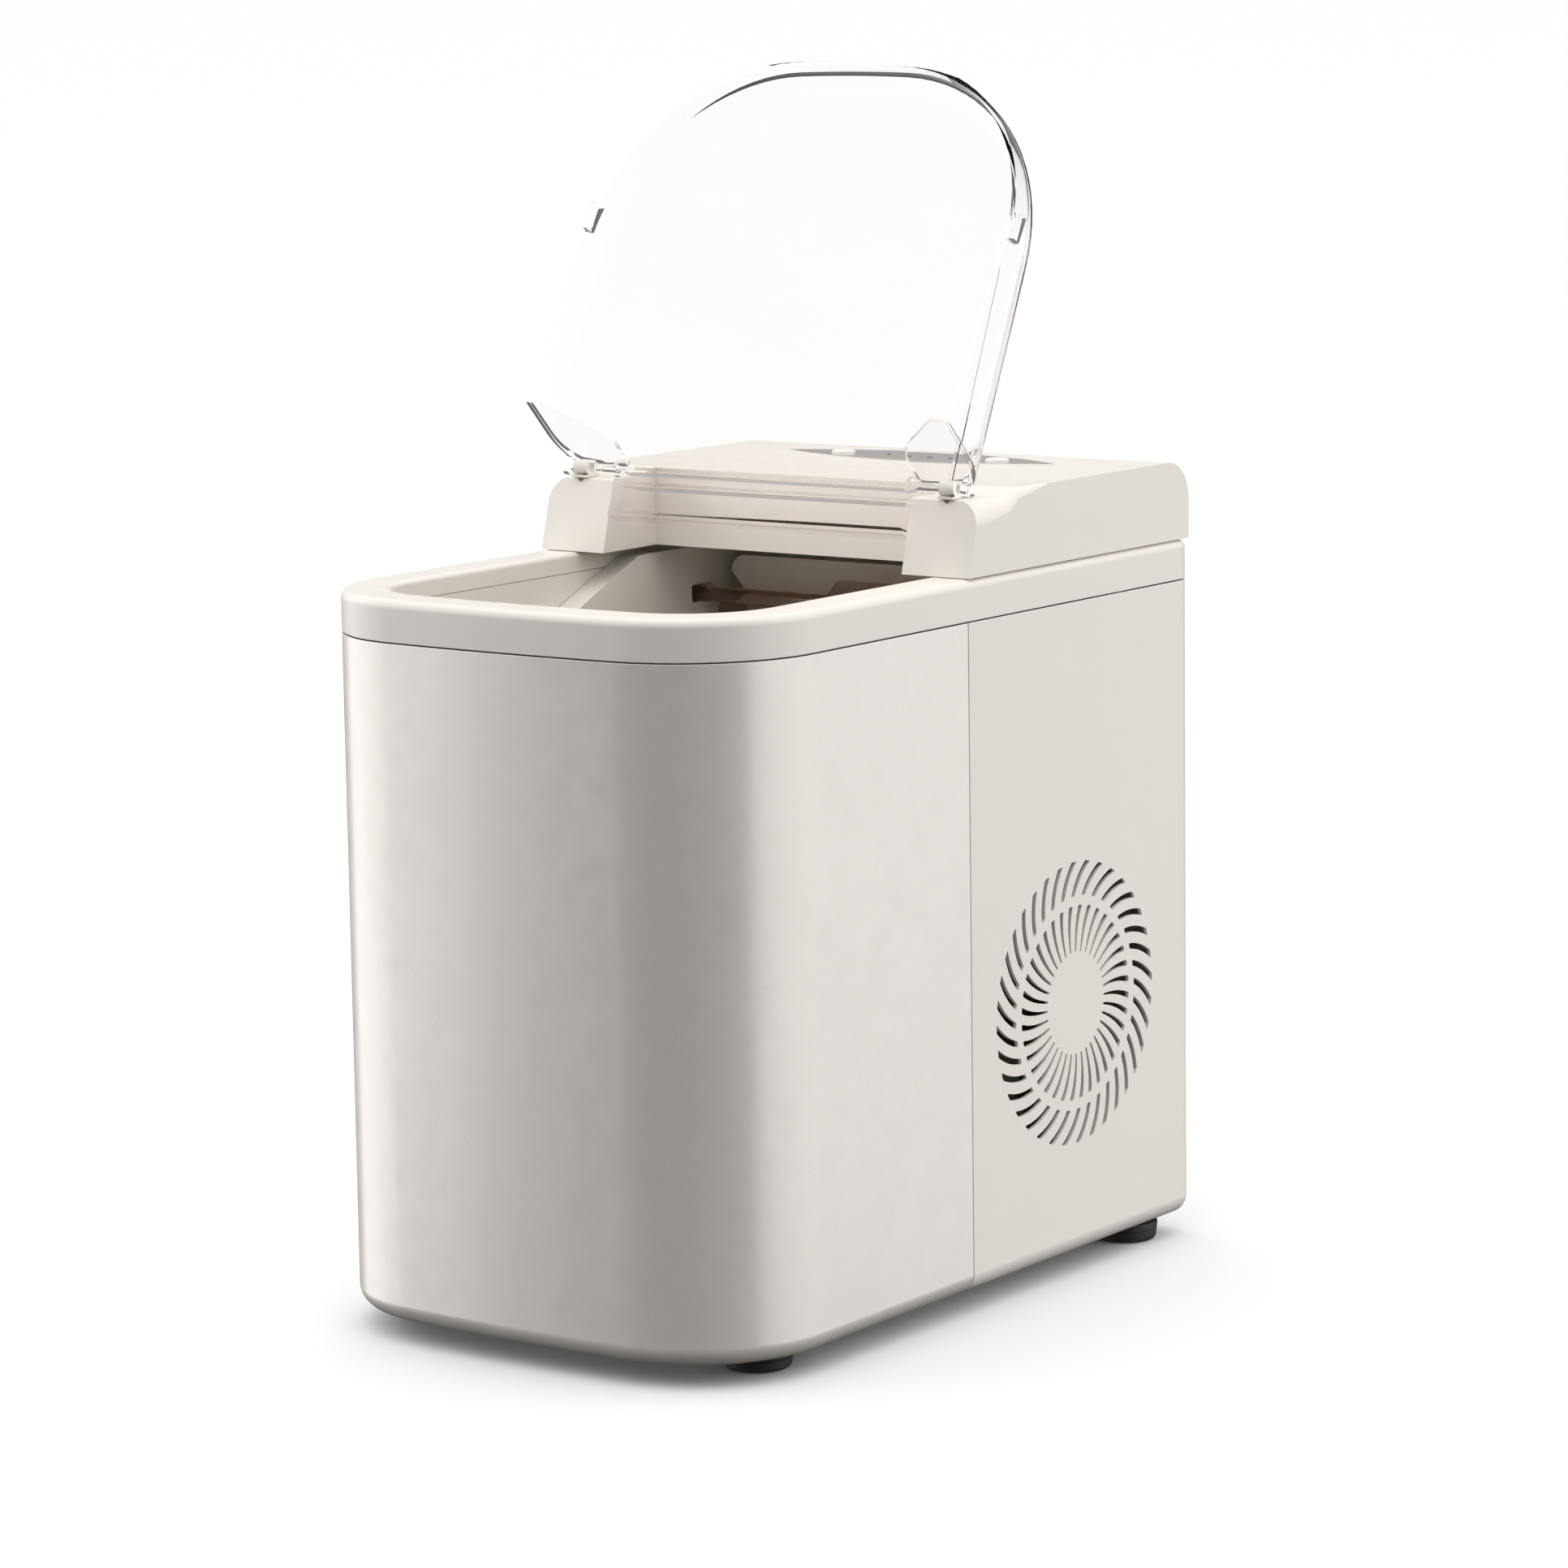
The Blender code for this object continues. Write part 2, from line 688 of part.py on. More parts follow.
def sloped(thing):
    """Turn a piece drawn level about the hinge axis, to lie in line with the lid's top."""
    axis = Matrix.Translation(Vector((0, HINGE_Y, HINGE_Z)) * MM)
    turn = Matrix.Rotation(math.radians(LID_SLOPE_DEG), 4, "X")
    thing.data.transform(axis @ turn @ axis.inverted())
    return thing


def flange_box(name, x_low, x_high, rear, over):
    """A box of the rear flange: its reach behind the hinge axis and its height over it."""
    low = (x_low, HINGE_Y + rear[0], HINGE_Z + over[0])
    return sloped(box(name, low, (x_high, HINGE_Y + rear[1], HINGE_Z + over[1])))


def make_lid():
    lid = grid_skin("lid", [list(reversed(lid_row(i, part))) for i, part in LID_SECTION], CLEAR,
                    cap_last=True)
    thicken(lid, LID_WALL)
    top = lid_top(5.0)
    wall = [
        (82.0, top - 2.4), (82.0, 362.0), (86.0, 352.5), (107.0, 335.4), (117.5, 335.4),
        (117.5, 356.6), (115.7, 364.6), (111.7, 370.9), (106.6, 375.1), (98.3, 376.5),
        (96.6, top - 1.0), (86.0, top - 1.0),
    ]
    extras = []
    for side in (-1, 1):
        points = [(side * x, z) for x, z in wall]
        extras.append(lean_back(prism("end_wall", [points], -5.2, -3.2, "Y")))
        x0, x1 = sorted((side * (FLANGE_HALF - 2.5), side * FLANGE_HALF))
        extras.append(flange_box("flange_end", x0, x1, (-4.1, 22.8), (-0.5, 7.0)))
        lug = cylinder("inner_lug", (x0 - 0.2, HINGE_Y, HINGE_Z), (x1 + 0.2, HINGE_Y, HINGE_Z),
                       4.1, sides=20)
        extras.append(lug)
        x0, x1 = sorted((side * 110.4, side * 113.4))
        lug = cylinder("outer_lug", (x0, HINGE_Y, HINGE_Z), (x1, HINGE_Y, HINGE_Z), 4.1, sides=20)
        extras.append(lug)
        extras.append(box("lug_arm", (x0 + 0.2, 4.5, 368.0), (x1 - 0.2, HINGE_Y, HINGE_Z + 1.4)))
        x0, x1 = sorted((side * (FLANGE_HALF - 1.0), side * 112.0))
        extras.append(
            cylinder("rod", (x0, HINGE_Y, HINGE_Z), (x1, HINGE_Y, HINGE_Z), ROD_RADIUS, sides=16)
        )
        x0, x1 = sorted((side * TAB_X, side * (TAB_X + 4.6)))
        tab = box("finger_tab", (x0, TAB_Y - 7, LID_EDGE + 0.1), (x1, TAB_Y + 7, LID_EDGE + 6))
        extras.append(tab)
    half = FLANGE_HALF - 0.1
    top = LID_OVER_HINGE - 0.3
    extras.append(flange_box("flange", -half, half, (-9.0, 23.0), (top - 2.0, top)))
    for low, high in ((-1.2, 1.2), (5.8, 8.2), (19.6, 22.8)):
        extras.append(flange_box("flange_rib", -half, half, (low, high), (-0.4, 7.0)))
    swung_open(fuse(lid, *extras))


def swung_open(lid):
    """Bake the closed shape, swing it open about the hinge axis and put its origin there."""
    bpy.context.view_layer.update()
    graph = bpy.context.evaluated_depsgraph_get()
    mesh = bpy.data.meshes.new_from_object(lid.evaluated_get(graph))
    axis = Vector((0, HINGE_Y, HINGE_Z)) * MM
    swing = Matrix.Rotation(math.radians(-LID_OPEN_DEG), 4, "X")
    mesh.transform(swing @ Matrix.Translation(-axis))
    bpy.data.objects.remove(lid, do_unlink=True)
    made = bpy.data.objects.new("lid", mesh)
    PARTS.objects.link(made)
    made.location = axis


def make_saddle(name, x):
    inner, outer = ROD_RADIUS + GAP, ROD_RADIUS + 2.2
    ring = arc((HINGE_Y, HINGE_Z), outer, 130, 410, 14) + arc(
        (HINGE_Y, HINGE_Z), inner, 410, 130, 14
    )
    saddle = prism(name, [ring], x - 4, x + 4, "X", LINER)
    foot = box(
        "saddle_foot", (x - 4, HINGE_Y - 4.9, TOWER_TOP + 0.2),
        (x + 4, HINGE_Y + 5.5, TOWER_TOP + 1.4),
    )
    fuse(saddle, foot)


# ---------------------------------------------------------------- ice well, basket, chute


def make_ice_well():
    outside = RIM_WIDTH - WELL_WALL
    well = prism("ice_well", [open_front(outside, WELL_REAR)], WELL_FLOOR, WELL_TOP, look=LINER)
    half = HALF_WIDTH - outside
    chamber = box("chamber", (-half, 4, CHAMBER_FLOOR), (half, CHAMBER_REAR, WELL_TOP))
    room = prism(
        "well_room", [open_front(RIM_WIDTH, WELL_REAR - WELL_WALL)],
        WELL_FLOOR + WELL_WALL, WELL_TOP + 20,
    )
    inner = HALF_WIDTH - RIM_WIDTH
    chamber_room = box(
        "chamber_room", (-inner, -10, CHAMBER_FLOOR + WELL_WALL),
        (inner, CHAMBER_REAR - WELL_WALL, WELL_TOP + 20),
    )
    drain = cylinder("well_drain", (DRAIN_X, DRAIN_Y, 100), (DRAIN_X, DRAIN_Y, 130), 8.0)
    tubes = [
        cylinder("tube_hole", (x, CHAMBER_REAR - 8, 300), (x, CHAMBER_REAR + 8, 300), 5.0,
                 sides=12)
        for x in (-30.0, 30.0)
    ]
    hose = cylinder("hose_hole", (-60, CHAMBER_REAR - 8, 310.5), (-60, CHAMBER_REAR + 8, 310.5),
                    5.6, sides=16)
    shaft = cylinder("shaft_hole", (94, TRAY_Y, TRAY_Z), (106, TRAY_Y, TRAY_Z), 6.0, sides=16)
    cut(fuse(well, chamber), room, chamber_room, drain, *tubes, hose, shaft)


def make_insulation():
    outer = open_front(7.0, SEAM_Y - 4)
    inner = open_front(RIM_WIDTH - WELL_WALL - 0.4, SEAM_Y - 4)
    prism("well_insulation", [outer + list(reversed(inner))], 124, 306, look=FOAM)


def basket_outline(inset):
    half = BASKET_HALF - inset
    low, high = BASKET_FRONT + inset, BASKET_REAR - inset
    corner, small = 40.0 - inset, 10.0 - inset
    return (
        arc((half - corner, low + corner), corner, -90, 0, 6)
        + arc((half - small, high - small), small, 0, 90, 2)
        + arc((-half + small, high - small), small, 90, 180, 2)
        + arc((-half + corner, low + corner), corner, 180, 270, 6)
    )


def make_basket():
    rows = [
        (basket_outline(3.2), BASKET_LOW), (basket_outline(0.0), BASKET_HIGH),
        (basket_outline(-3.4), BASKET_HIGH), (basket_outline(-3.4), BASKET_HIGH + 2.2),
        (basket_outline(2.2), BASKET_HIGH + 2.2), (basket_outline(5.4), BASKET_LOW + 2.2),
    ]
    bm = bmesh.new()
    grid = [[bm.verts.new(Vector((x, y, z)) * MM) for x, y in line] for line, z in rows]
    for low, high in zip(grid, grid[1:]):
        for i in range(len(low)):
            j = (i + 1) % len(low)
            bm.faces.new((low[i], low[j], high[j], high[i]))
    bm.faces.new(grid[0])
    bm.faces.new(grid[-1])
    basket = keep("ice_basket", mesh_of(bm, "ice_basket"), LINER)
    slots = [
        box("floor_slot", (x - 2, -138, 110), (x + 2, -30, 140)) for x in range(-54, 55, 18)
    ]
    sides = [
        box("side_slot", (-100, y - 2.5, 142), (100, y + 2.5, 200)) for y in range(-104, -24, 18)
    ]
    fronts = [
        box("front_slot", (x - 2.5, -180, 142), (x + 2.5, 0, 200)) for x in range(-27, 28, 18)
    ]
    cut(basket, joined("floor_slots", None, slots), joined("side_slots", None, sides),
        joined("front_slots", None, fronts))
    pivot_after(basket, (0, (BASKET_FRONT + BASKET_REAR) / 2, BASKET_LOW))


def make_cheek(name, side):
    """A side plate of the ice chute: its front edge slopes forward and down over the bin."""
    outline = [
        (-66, 256), (-66, 284), (-60, 289.4), (31, 329), (150, 329), (150, 244), (14, 244),
    ]
    x0, x1 = sorted((side * CHEEK_X, side * (CHEEK_X + CHEEK_WALL)))
    cheek = prism(name, [outline], x0, x1, "X", LINER)
    front, rear = SHOVEL_Y - SHOVEL_ROD - 0.7, SHOVEL_Y + SHOVEL_TRAVEL + SHOVEL_ROD + 0.7
    slot = box(
        "pin_slot", (x0 - 2, front, SHOVEL_Z - SHOVEL_ROD - 0.5),
        (x1 + 2, rear, SHOVEL_Z + SHOVEL_ROD + 0.5),
    )
    bore = cylinder("tray_bore", (x0 - 2, TRAY_Y, TRAY_Z), (x1 + 2, TRAY_Y, TRAY_Z), 5.4)
    hub_room = cylinder("hub_room", (side * (TRUNNION_END + 0.1), TRAY_Y, TRAY_Z),
                        (side * (HALF_WIDTH - 20), TRAY_Y, TRAY_Z), 8.6)
    cut(cheek, slot, bore, hub_room)


def make_ramp():
    """The slotted ice ramp under the water tray: water drains back, ice slides forward."""
    outline = [(8, 249), (8, 251.5), (150, 265.5), (150, 263)]
    half = CHEEK_X - 0.6
    ramp = prism("ice_ramp", [outline], -half, half, "X", LINER)
    slots = [box("ramp_slot", (x - 2, 24, 230), (x + 2, 140, 280)) for x in range(-70, 71, 14)]
    cut(ramp, joined("ramp_slots", None, slots))


def make_baffle():
    """The white splash panel ahead of the water tray, its top turned back, one corner round."""
    low_x, high_x, top = -81.0, CHEEK_X - 0.4, 323.4
    outline = [(high_x, 290), (high_x, top), (low_x + 8, top)]
    outline += arc((low_x + 8, top - 8), 8, 90, 180, 4)
    outline += [(low_x + 7, 307.6), (low_x + 9.8, 296), (low_x + 10.2, 290)]
    panel = prism("evaporator_baffle", [outline], BAFFLE_Y, BAFFLE_Y + 2.4, "Y", LINER)
    turned_back = box("baffle_top", (low_x + 8, BAFFLE_Y + 1, top - 2.4),
                      (high_x, BAFFLE_Y + 16, top))
    fuse(panel, turned_back)


# ---------------------------------------------------------------- ice-making parts


def make_evaporator():
    top = TRAY_Z + 26.0
    bar = cylinder("evaporator", (-66, TRAY_Y, top), (66, TRAY_Y, top), 5.0, STEEL, sides=16)
    fingers = [
        cylinder("finger", (x, TRAY_Y, top), (x, TRAY_Y, TRAY_Z - 14), 3.6, sides=12,
                 end_radius=3.2)
        for x in range(-56, 57, 16)
    ]
    pipes = [
        tube(
            "pipe",
            [(x, TRAY_Y, top), (x, TRAY_Y + 6, top + 10), (x, TRAY_Y + 14, top + 15),
             (x, TRAY_Y + 24, top + 16), (x, PIPE_Y, top + 10), (x, PIPE_Y, 304),
             (x, PIPE_Y + 3.4, 300), (x, CHAMBER_REAR + 6, 300)],
            2.6, resolution=2,
        )
        for x in (-30.0, 30.0)
    ]
    fuse(bar, *fingers, *pipes)


def make_water_tray():
    outer = arc((TRAY_Y, TRAY_Z), TRAY_RADIUS, 192, 348, 12)
    inner = arc((TRAY_Y, TRAY_Z), TRAY_RADIUS - 2, 348, 192, 12)
    tray = prism("water_tray", [outer + inner], -TRAY_HALF, TRAY_HALF, "X", SMOKE)
    ends = []
    for side in (-1, 1):
        x0, x1 = sorted((side * (TRAY_HALF - 2.5), side * TRAY_HALF))
        face = arc((TRAY_Y, TRAY_Z), TRAY_RADIUS - 0.5, 190, 350, 12)
        face += arc((TRAY_Y, TRAY_Z), 7.0, 20, 160, 5)
        ends.append(prism("tray_end", [face], x0, x1, "X"))
        x0, x1 = sorted((side * (TRAY_HALF - 2.0), side * TRUNNION_END))
        ends.append(
            cylinder("trunnion", (x0, TRAY_Y, TRAY_Z), (x1, TRAY_Y, TRAY_Z), 5.0, sides=20)
        )
    pivot_after(fuse(tray, *ends), (0, TRAY_Y, TRAY_Z))


def make_tray_drive():
    x = HALF_WIDTH - RIM_WIDTH
    hub = cylinder("tray_drive_hub", (TRUNNION_END + 0.4, TRAY_Y, TRAY_Z),
                   (x - 0.6, TRAY_Y, TRAY_Z), 8.0, BLACK, sides=20)
    shaft = cylinder("hub_shaft", (x - 3, TRAY_Y, TRAY_Z), (x + 4.4, TRAY_Y, TRAY_Z), 3.0,
                     sides=16)
    motor = cylinder("tray_motor", (x + 5.0, TRAY_Y, TRAY_Z), (x + 18.5, TRAY_Y, TRAY_Z), 22.0,
                     STEEL, sides=28)
    ears = box("motor_ears", (x + 5.0, TRAY_Y - 32, TRAY_Z - 4.5),
               (x + 6.6, TRAY_Y + 32, TRAY_Z + 4.5))
    pivot_after(fuse(hub, shaft), (x, TRAY_Y, TRAY_Z))
    fuse(motor, ears)


def make_shovel():
    """The smoky pusher that sweeps ice off the ramp: a rod, a raised plate, a toothed blade."""
    half = CHEEK_X + CHEEK_WALL - 1.0
    bar = cylinder("ice_shovel", (-half, SHOVEL_Y, SHOVEL_Z), (half, SHOVEL_Y, SHOVEL_Z),
                   SHOVEL_ROD, SMOKE, sides=16)
    blade = box("shovel_blade", (-74, SHOVEL_Y - 1.2, 278), (74, SHOVEL_Y + 1.2, SHOVEL_Z))
    outline = [(-14, SHOVEL_Z), (74, SHOVEL_Z), (74, 317.4), (-4, 317.4)]
    raised = prism("raised_plate", [outline], SHOVEL_Y - 1.2, SHOVEL_Y + 1.2, "Y")
    teeth = [
        box("shovel_tooth", (x - 4.5, SHOVEL_Y - 1.2, 268), (x + 4.5, SHOVEL_Y + 1.2, 280))
        for x in range(-64, 65, 16)
    ]
    fuse(bar, blade, raised, joined("shovel_teeth", None, teeth))
    pivot_after(bar, (0, SHOVEL_Y, SHOVEL_Z))


# ---------------------------------------------------------------- cooling and water parts


def make_compressor():
    x, y = -52.0, 112.0
    body = turned(
        "compressor",
        [(0, 152), (22, 151), (38, 144), (46, 130), (47.5, 112), (47.5, 60), (46, 38), (36, 27),
         (0, 24)],
        (x, y, 0), BLACK, steps=28,
    )
    legs = [
        box("leg", (x - 58, y - 8, 26), (x + 58, y + 8, 29)),
        box("leg", (x - 8, y - 56, 26), (x + 8, y + 8, 29)),
    ]
    terminal = box("terminal", (x - 14, y - 54, 86), (x + 14, y - 40, 120), bevel=2)
    fuse(body, *legs, terminal)


def make_grommets():
    for name, x, y in (
        ("grommet_left", -104.0, 112.0), ("grommet_right", 0.0, 112.0),
        ("grommet_front", -52.0, 62.0),
    ):
        cylinder(name, (x, y, BASE_TOP + GAP), (x, y, 25.6), 6.5, RUBBER, sides=16)


def make_condenser():
    x0, x1 = 46.0, 72.0
    low, high = (26.0, 74.0), (142.0, 182.0)
    core = box("condenser", (x0, low[0], low[1]), (x1, high[0], high[1]), STEEL)
    grooves = [
        box("groove", (x0 - 1, low[0] + 2.5, z), (x0 + 4.5, high[0] - 2.5, z + 4.0))
        for z in range(78, 180, 8)
    ]
    bends = [
        tube("bend", [(x0 + 13 + 6 * s, end, z), (x0 + 13 + 6 * s, end + d * 7, z + 2),
                      (x0 + 13 + 6 * s, end + d * 7, z + 14), (x0 + 13 + 6 * s, end, z + 16)],
             2.6, resolution=1)
        for z in (86, 118, 150)
        for s, d, end in ((-1, -1, low[0] + 2), (1, 1, high[0] - 2))
    ]
    fuse(cut(core, joined("grooves", None, grooves)), joined("bends", None, bends))


def make_fan():
    centre = (GRILLE_Y, GRILLE_Z)
    frame = prism(
        "fan_shroud",
        [[(26, 70), (142, 70), (142, 186), (26, 186)], arc(centre, 53, 0, 350, 35)],
        76, 79, "X", BLACK,
    )
    ring = prism(
        "shroud_ring", [arc(centre, 55.5, 0, 350, 35), arc(centre, 53, 0, 350, 35)], 78, 104, "X"
    )
    struts = [
        box("strut", (77, GRILLE_Y - 54, GRILLE_Z - 3), (79.5, GRILLE_Y + 54, GRILLE_Z + 3)),
        box("strut", (77, GRILLE_Y - 3, GRILLE_Z - 54), (79.5, GRILLE_Y + 3, GRILLE_Z + 54)),
        cylinder("motor_plate", (77, *centre), (79.5, *centre), 18),
    ]
    fuse(frame, ring, *struts)
    motor = cylinder("fan_motor", (80, *centre), (90, *centre), 17, BLACK, sides=24)
    fuse(motor, cylinder("motor_shaft", (89, *centre), (94, *centre), 2.0, sides=12))


def make_rotor():
    centre = (GRILLE_Y, GRILLE_Z)
    x0, x1 = 91.0, 106.0
    rotor = cylinder("fan_rotor", (x0, *centre), (x1, *centre), 19.0, BLACK, sides=28)
    blades = []
    for i in range(7):
        blade = box("blade", (-7, 17, -1.0), (7, 50.5, 1.0))
        pitch = Matrix.Rotation(math.radians(35), 4, "Y")
        around = Matrix.Rotation(math.radians(360 / 7 * i), 4, "X")
        place = Matrix.Translation(Vector(((x0 + x1) / 2, *centre)) * MM)
        blade.data.transform(place @ around @ pitch)
        blades.append(blade)
    bore = cylinder("rotor_bore", (x0 - 2, *centre), (x0 + 7, *centre), 2.3, sides=16)
    pivot_after(cut(fuse(rotor, *blades), bore), (x0, *centre))


def make_small_parts():
    pump = cylinder("water_pump", (-62, -20, BASE_TOP + GAP), (-62, -20, 62), 19, BLACK, sides=24)
    fuse(pump, cylinder("pump_outlet", (-62, -20, 60), (-62, -20, 74), 4, sides=12))
    tube(
        "pump_hose",
        [(-62, -20, 74.6), (-62, -20, 88), (-70, -6, 100), (-90, 18, 106), (-107, 44, 108),
         (-110, 80, 110), (-110, 130, 114), (-108, 158, 130), (-100, 172, 160), (-90, 174, 220),
         (-70, 174, 282), (-60, 173, 304), (-60, 168, 310), (-60, 155, 310.5)],
        4.4, CLEAR, resolution=2,
    )
    valve = cylinder("solenoid_valve", (28, 152, 196), (28, 152, 222), 11, STEEL, sides=20)
    fuse(valve, cylinder("valve_body", (28, 152, 184), (28, 152, 198), 6, sides=16))
    cylinder("filter_drier", (20, 36, 40), (20, 36, 104), 9, COPPER, sides=18)
    tube(
        "discharge_line",
        [(-20, 84, 152), (-20, 84, 170), (-12, 78, 182), (8, 66, 190), (28, 50, 192),
         (48, 40, 192), (56, 40, 190), (58, 40, 183)],
        2.8, COPPER, resolution=2,
    )
    tube(
        "suction_line",
        [(-70, 148, 146), (-72, 156, 158), (-72, 162, 190), (-60, 168, 226), (-38, 174, 262),
         (-30, 176, 290), (-30, 176, 296), (-30, 173.4, 300), (-30, 170.5, 300)],
        3.2, COPPER, resolution=2,
    )
    for name, side in (("ice_sensor_left", -1), ("ice_sensor_right", 1)):
        x0, x1 = sorted((side * (CHEEK_X - 3.0), side * (CHEEK_X - GAP)))
        box(name, (x0, -62, 262), (x1, -50, 272), BLACK)
    cylinder("water_level_probe", (70, 4, 150), (70, 9.2, 150), 4, STEEL, sides=16)


def make_inlet():
    inlet = box("power_inlet", (-87.5, REAR_Y - 24, 30.5), (-58.5, REAR_Y - 0.2, 53.5), BLACK)
    well = box("inlet_well", (-84, REAR_Y - 16, 34), (-62, REAR_Y + 5, 50))
    pins = [
        box("pin", (x - 1.2, REAR_Y - 18, 40), (x + 1.2, REAR_Y - 5, 45)) for x in (-78, -68)
    ]
    fuse(cut(inlet, well), *pins)


def make_screws():
    for number, (x, z) in enumerate(SCREW_PLACES, start=1):
        shank = cylinder(f"rear_screw_{number}", (x, REAR_Y - 14, z), (x, REAR_Y - 1.2, z), 1.9,
                         STEEL, sides=12)
        head = cylinder("head", (x, REAR_Y - 1.7, z), (x, REAR_Y - 0.1, z), 3.9, sides=16,
                        end_radius=2.9)
        fuse(shank, head)


def main():
    make_front_shell()
    make_rear_housing()
    make_base_tray()
    make_top_frame()
    for name, x, y in (
        ("foot_front_left", -90, -125), ("foot_front_right", 90, -125),
        ("foot_rear_left", -101, 157), ("foot_rear_right", 101, 157),
    ):
        make_foot(name, x, y)
    make_drain()
    make_top_cover()
    make_panel()
    make_control_board()
    make_lid()
    make_saddle("hinge_saddle_left", -SADDLE_X)
    make_saddle("hinge_saddle_right", SADDLE_X)
    make_ice_well()
    make_insulation()
    make_basket()
    make_cheek("chute_cheek_left", -1)
    make_cheek("chute_cheek_right", 1)
    make_ramp()
    make_baffle()
    make_evaporator()
    make_water_tray()
    make_tray_drive()
    make_shovel()
    make_compressor()
    make_grommets()
    make_condenser()
    make_fan()
    make_rotor()
    make_small_parts()
    make_inlet()
    make_screws()


main()
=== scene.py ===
import json
import math

import bmesh
import bpy
from mathutils import Matrix, Quaternion, Vector


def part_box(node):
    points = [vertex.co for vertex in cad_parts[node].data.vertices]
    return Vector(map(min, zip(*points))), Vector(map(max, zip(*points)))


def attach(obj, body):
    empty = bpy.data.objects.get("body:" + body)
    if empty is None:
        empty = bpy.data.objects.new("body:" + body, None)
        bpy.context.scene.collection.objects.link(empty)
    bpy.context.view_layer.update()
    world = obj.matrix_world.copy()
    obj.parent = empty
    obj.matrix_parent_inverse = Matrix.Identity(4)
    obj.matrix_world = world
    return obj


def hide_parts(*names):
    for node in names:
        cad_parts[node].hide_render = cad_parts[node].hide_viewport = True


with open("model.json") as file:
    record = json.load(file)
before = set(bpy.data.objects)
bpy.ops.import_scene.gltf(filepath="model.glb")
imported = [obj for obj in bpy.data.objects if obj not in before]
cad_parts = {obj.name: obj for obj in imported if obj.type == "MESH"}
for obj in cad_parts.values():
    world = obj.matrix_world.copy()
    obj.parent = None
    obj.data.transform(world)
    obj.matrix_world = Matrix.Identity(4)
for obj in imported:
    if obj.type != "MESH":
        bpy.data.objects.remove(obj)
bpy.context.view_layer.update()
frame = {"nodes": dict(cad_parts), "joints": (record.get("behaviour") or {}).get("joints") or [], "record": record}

# Looks of the countertop ice maker. Lengths are in millimetres and go through MM into a mesh.
# The frame is the CAD's: +X the machine's right side, -Y its rounded front, +Z up.

MM = 0.001
X, Y, Z = 0, 1, 2


def side(node, axis, end):
    """One side of a CAD node's box in millimetres: end 0 is the low side, end 1 the high one."""
    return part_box(node)[end][axis] / MM


def span(node, axis):
    return side(node, axis, 0), side(node, axis, 1)


def middle(node, axis):
    return sum(span(node, axis)) / 2


def extent(node, axis):
    return side(node, axis, 1) - side(node, axis, 0)


def joint(name):
    return next(j for j in frame["joints"] if j["name"] == name)


# Driving dimensions, read from the frame
HALF_WIDTH = side("front_shell", X, 1)
FRONT_Y = side("front_shell", Y, 0)
REAR_Y = side("rear_housing", Y, 1)
CASE_LOW = side("front_shell", Z, 0)
SHELL_TOP = side("front_shell", Z, 1)
FRONT_SEAM = side("front_shell", Y, 1)
REAR_SEAM = side("rear_housing", Y, 0)
RIM_LOW = side("top_frame", Z, 0)
RIM_TOP = side("top_frame", Z, 1)
COVER_LOW = side("top_cover", Z, 0)
COVER_TOP = side("top_cover", Z, 1)
COVER_SIDE = side("top_cover", X, 1)
COVER_REAR = side("top_cover", Y, 1)
WELL_TOP = side("ice_well", Z, 1)
WELL_FLOOR = side("ice_well", Z, 0)
HINGE_Y, HINGE_Z = (v / MM for v in joint("lid_hinge")["pos_m"][1:])
LID_OPEN = math.radians(joint("lid_hinge")["range_deg"][0])
FAN = [v / MM for v in joint("fan_spin")["pos_m"]]
TRAY_Y, TRAY_Z = (v / MM for v in joint("tray_tilt")["pos_m"][1:])
DRAIN = [v / MM for v in joint("drain_turn")["pos_m"]]
BUTTON_X, PANEL_Y = middle("power_button", X), middle("power_button", Y)

# Shape dimensions that the boxes don't give
FRONT_CORNER, FRONT_ARC, REAR_CORNER = 64.0, 900.0, 8.0
WALL, BOTTOM_ROUND, CASE_LIP, RIM_WIDTH, WELL_WALL = 1.8, 9.0, 12.0, 22.0, 2.5
TOWER_INNER, TOWER_TOP, TOWER_LEAN, RECESS_Y = 84.0, 367.0, 8.8, 41.0
COVER_REAR_ROUND = 18.0
TOWER_ROUND = [(-4.0, 12.0, TOWER_TOP), (16.0, 12.0, TOWER_TOP), (34.0, 8.0, TOWER_TOP),
               (41.0, 6.0, COVER_TOP), (64.0, 0.8, COVER_TOP)]
GRILLE_RADIUS, GRILLE_SLOTS, GRILLE_TWIST, GRILLE_CORE = 66.0, 36, 45.7, 0.35
LAMP_PLACES = (-18.0, -6.0, 6.0, 18.0)
LID_SLOPE, LID_OVER_HINGE, LID_CORNER, FLANGE_HALF = math.radians(8.5), 8.2, 94.0, 83.3
TAB_X, TAB_Y = 116.2, -101.0
SHOVEL_Z, SHOVEL_ROD = 306.3, 3.8


# ---------------------------------------------------------------- materials


def link(tree, source, target):
    tree.links.new(source, target)


def noise(tree, size, detail=3.0, stretch=(1, 1, 1)):
    """Noise in object space whose lumps are about size millimetres across."""
    place = tree.nodes.new("ShaderNodeTexCoord")
    scale = tree.nodes.new("ShaderNodeMapping")
    scale.inputs["Scale"].default_value = stretch
    made = tree.nodes.new("ShaderNodeTexNoise")
    made.inputs["Scale"].default_value = 1 / (size * MM)
    made.inputs["Detail"].default_value = detail
    link(tree, place.outputs["Object"], scale.inputs["Vector"])
    link(tree, scale.outputs["Vector"], made.inputs["Vector"])
    return made.outputs["Fac"]


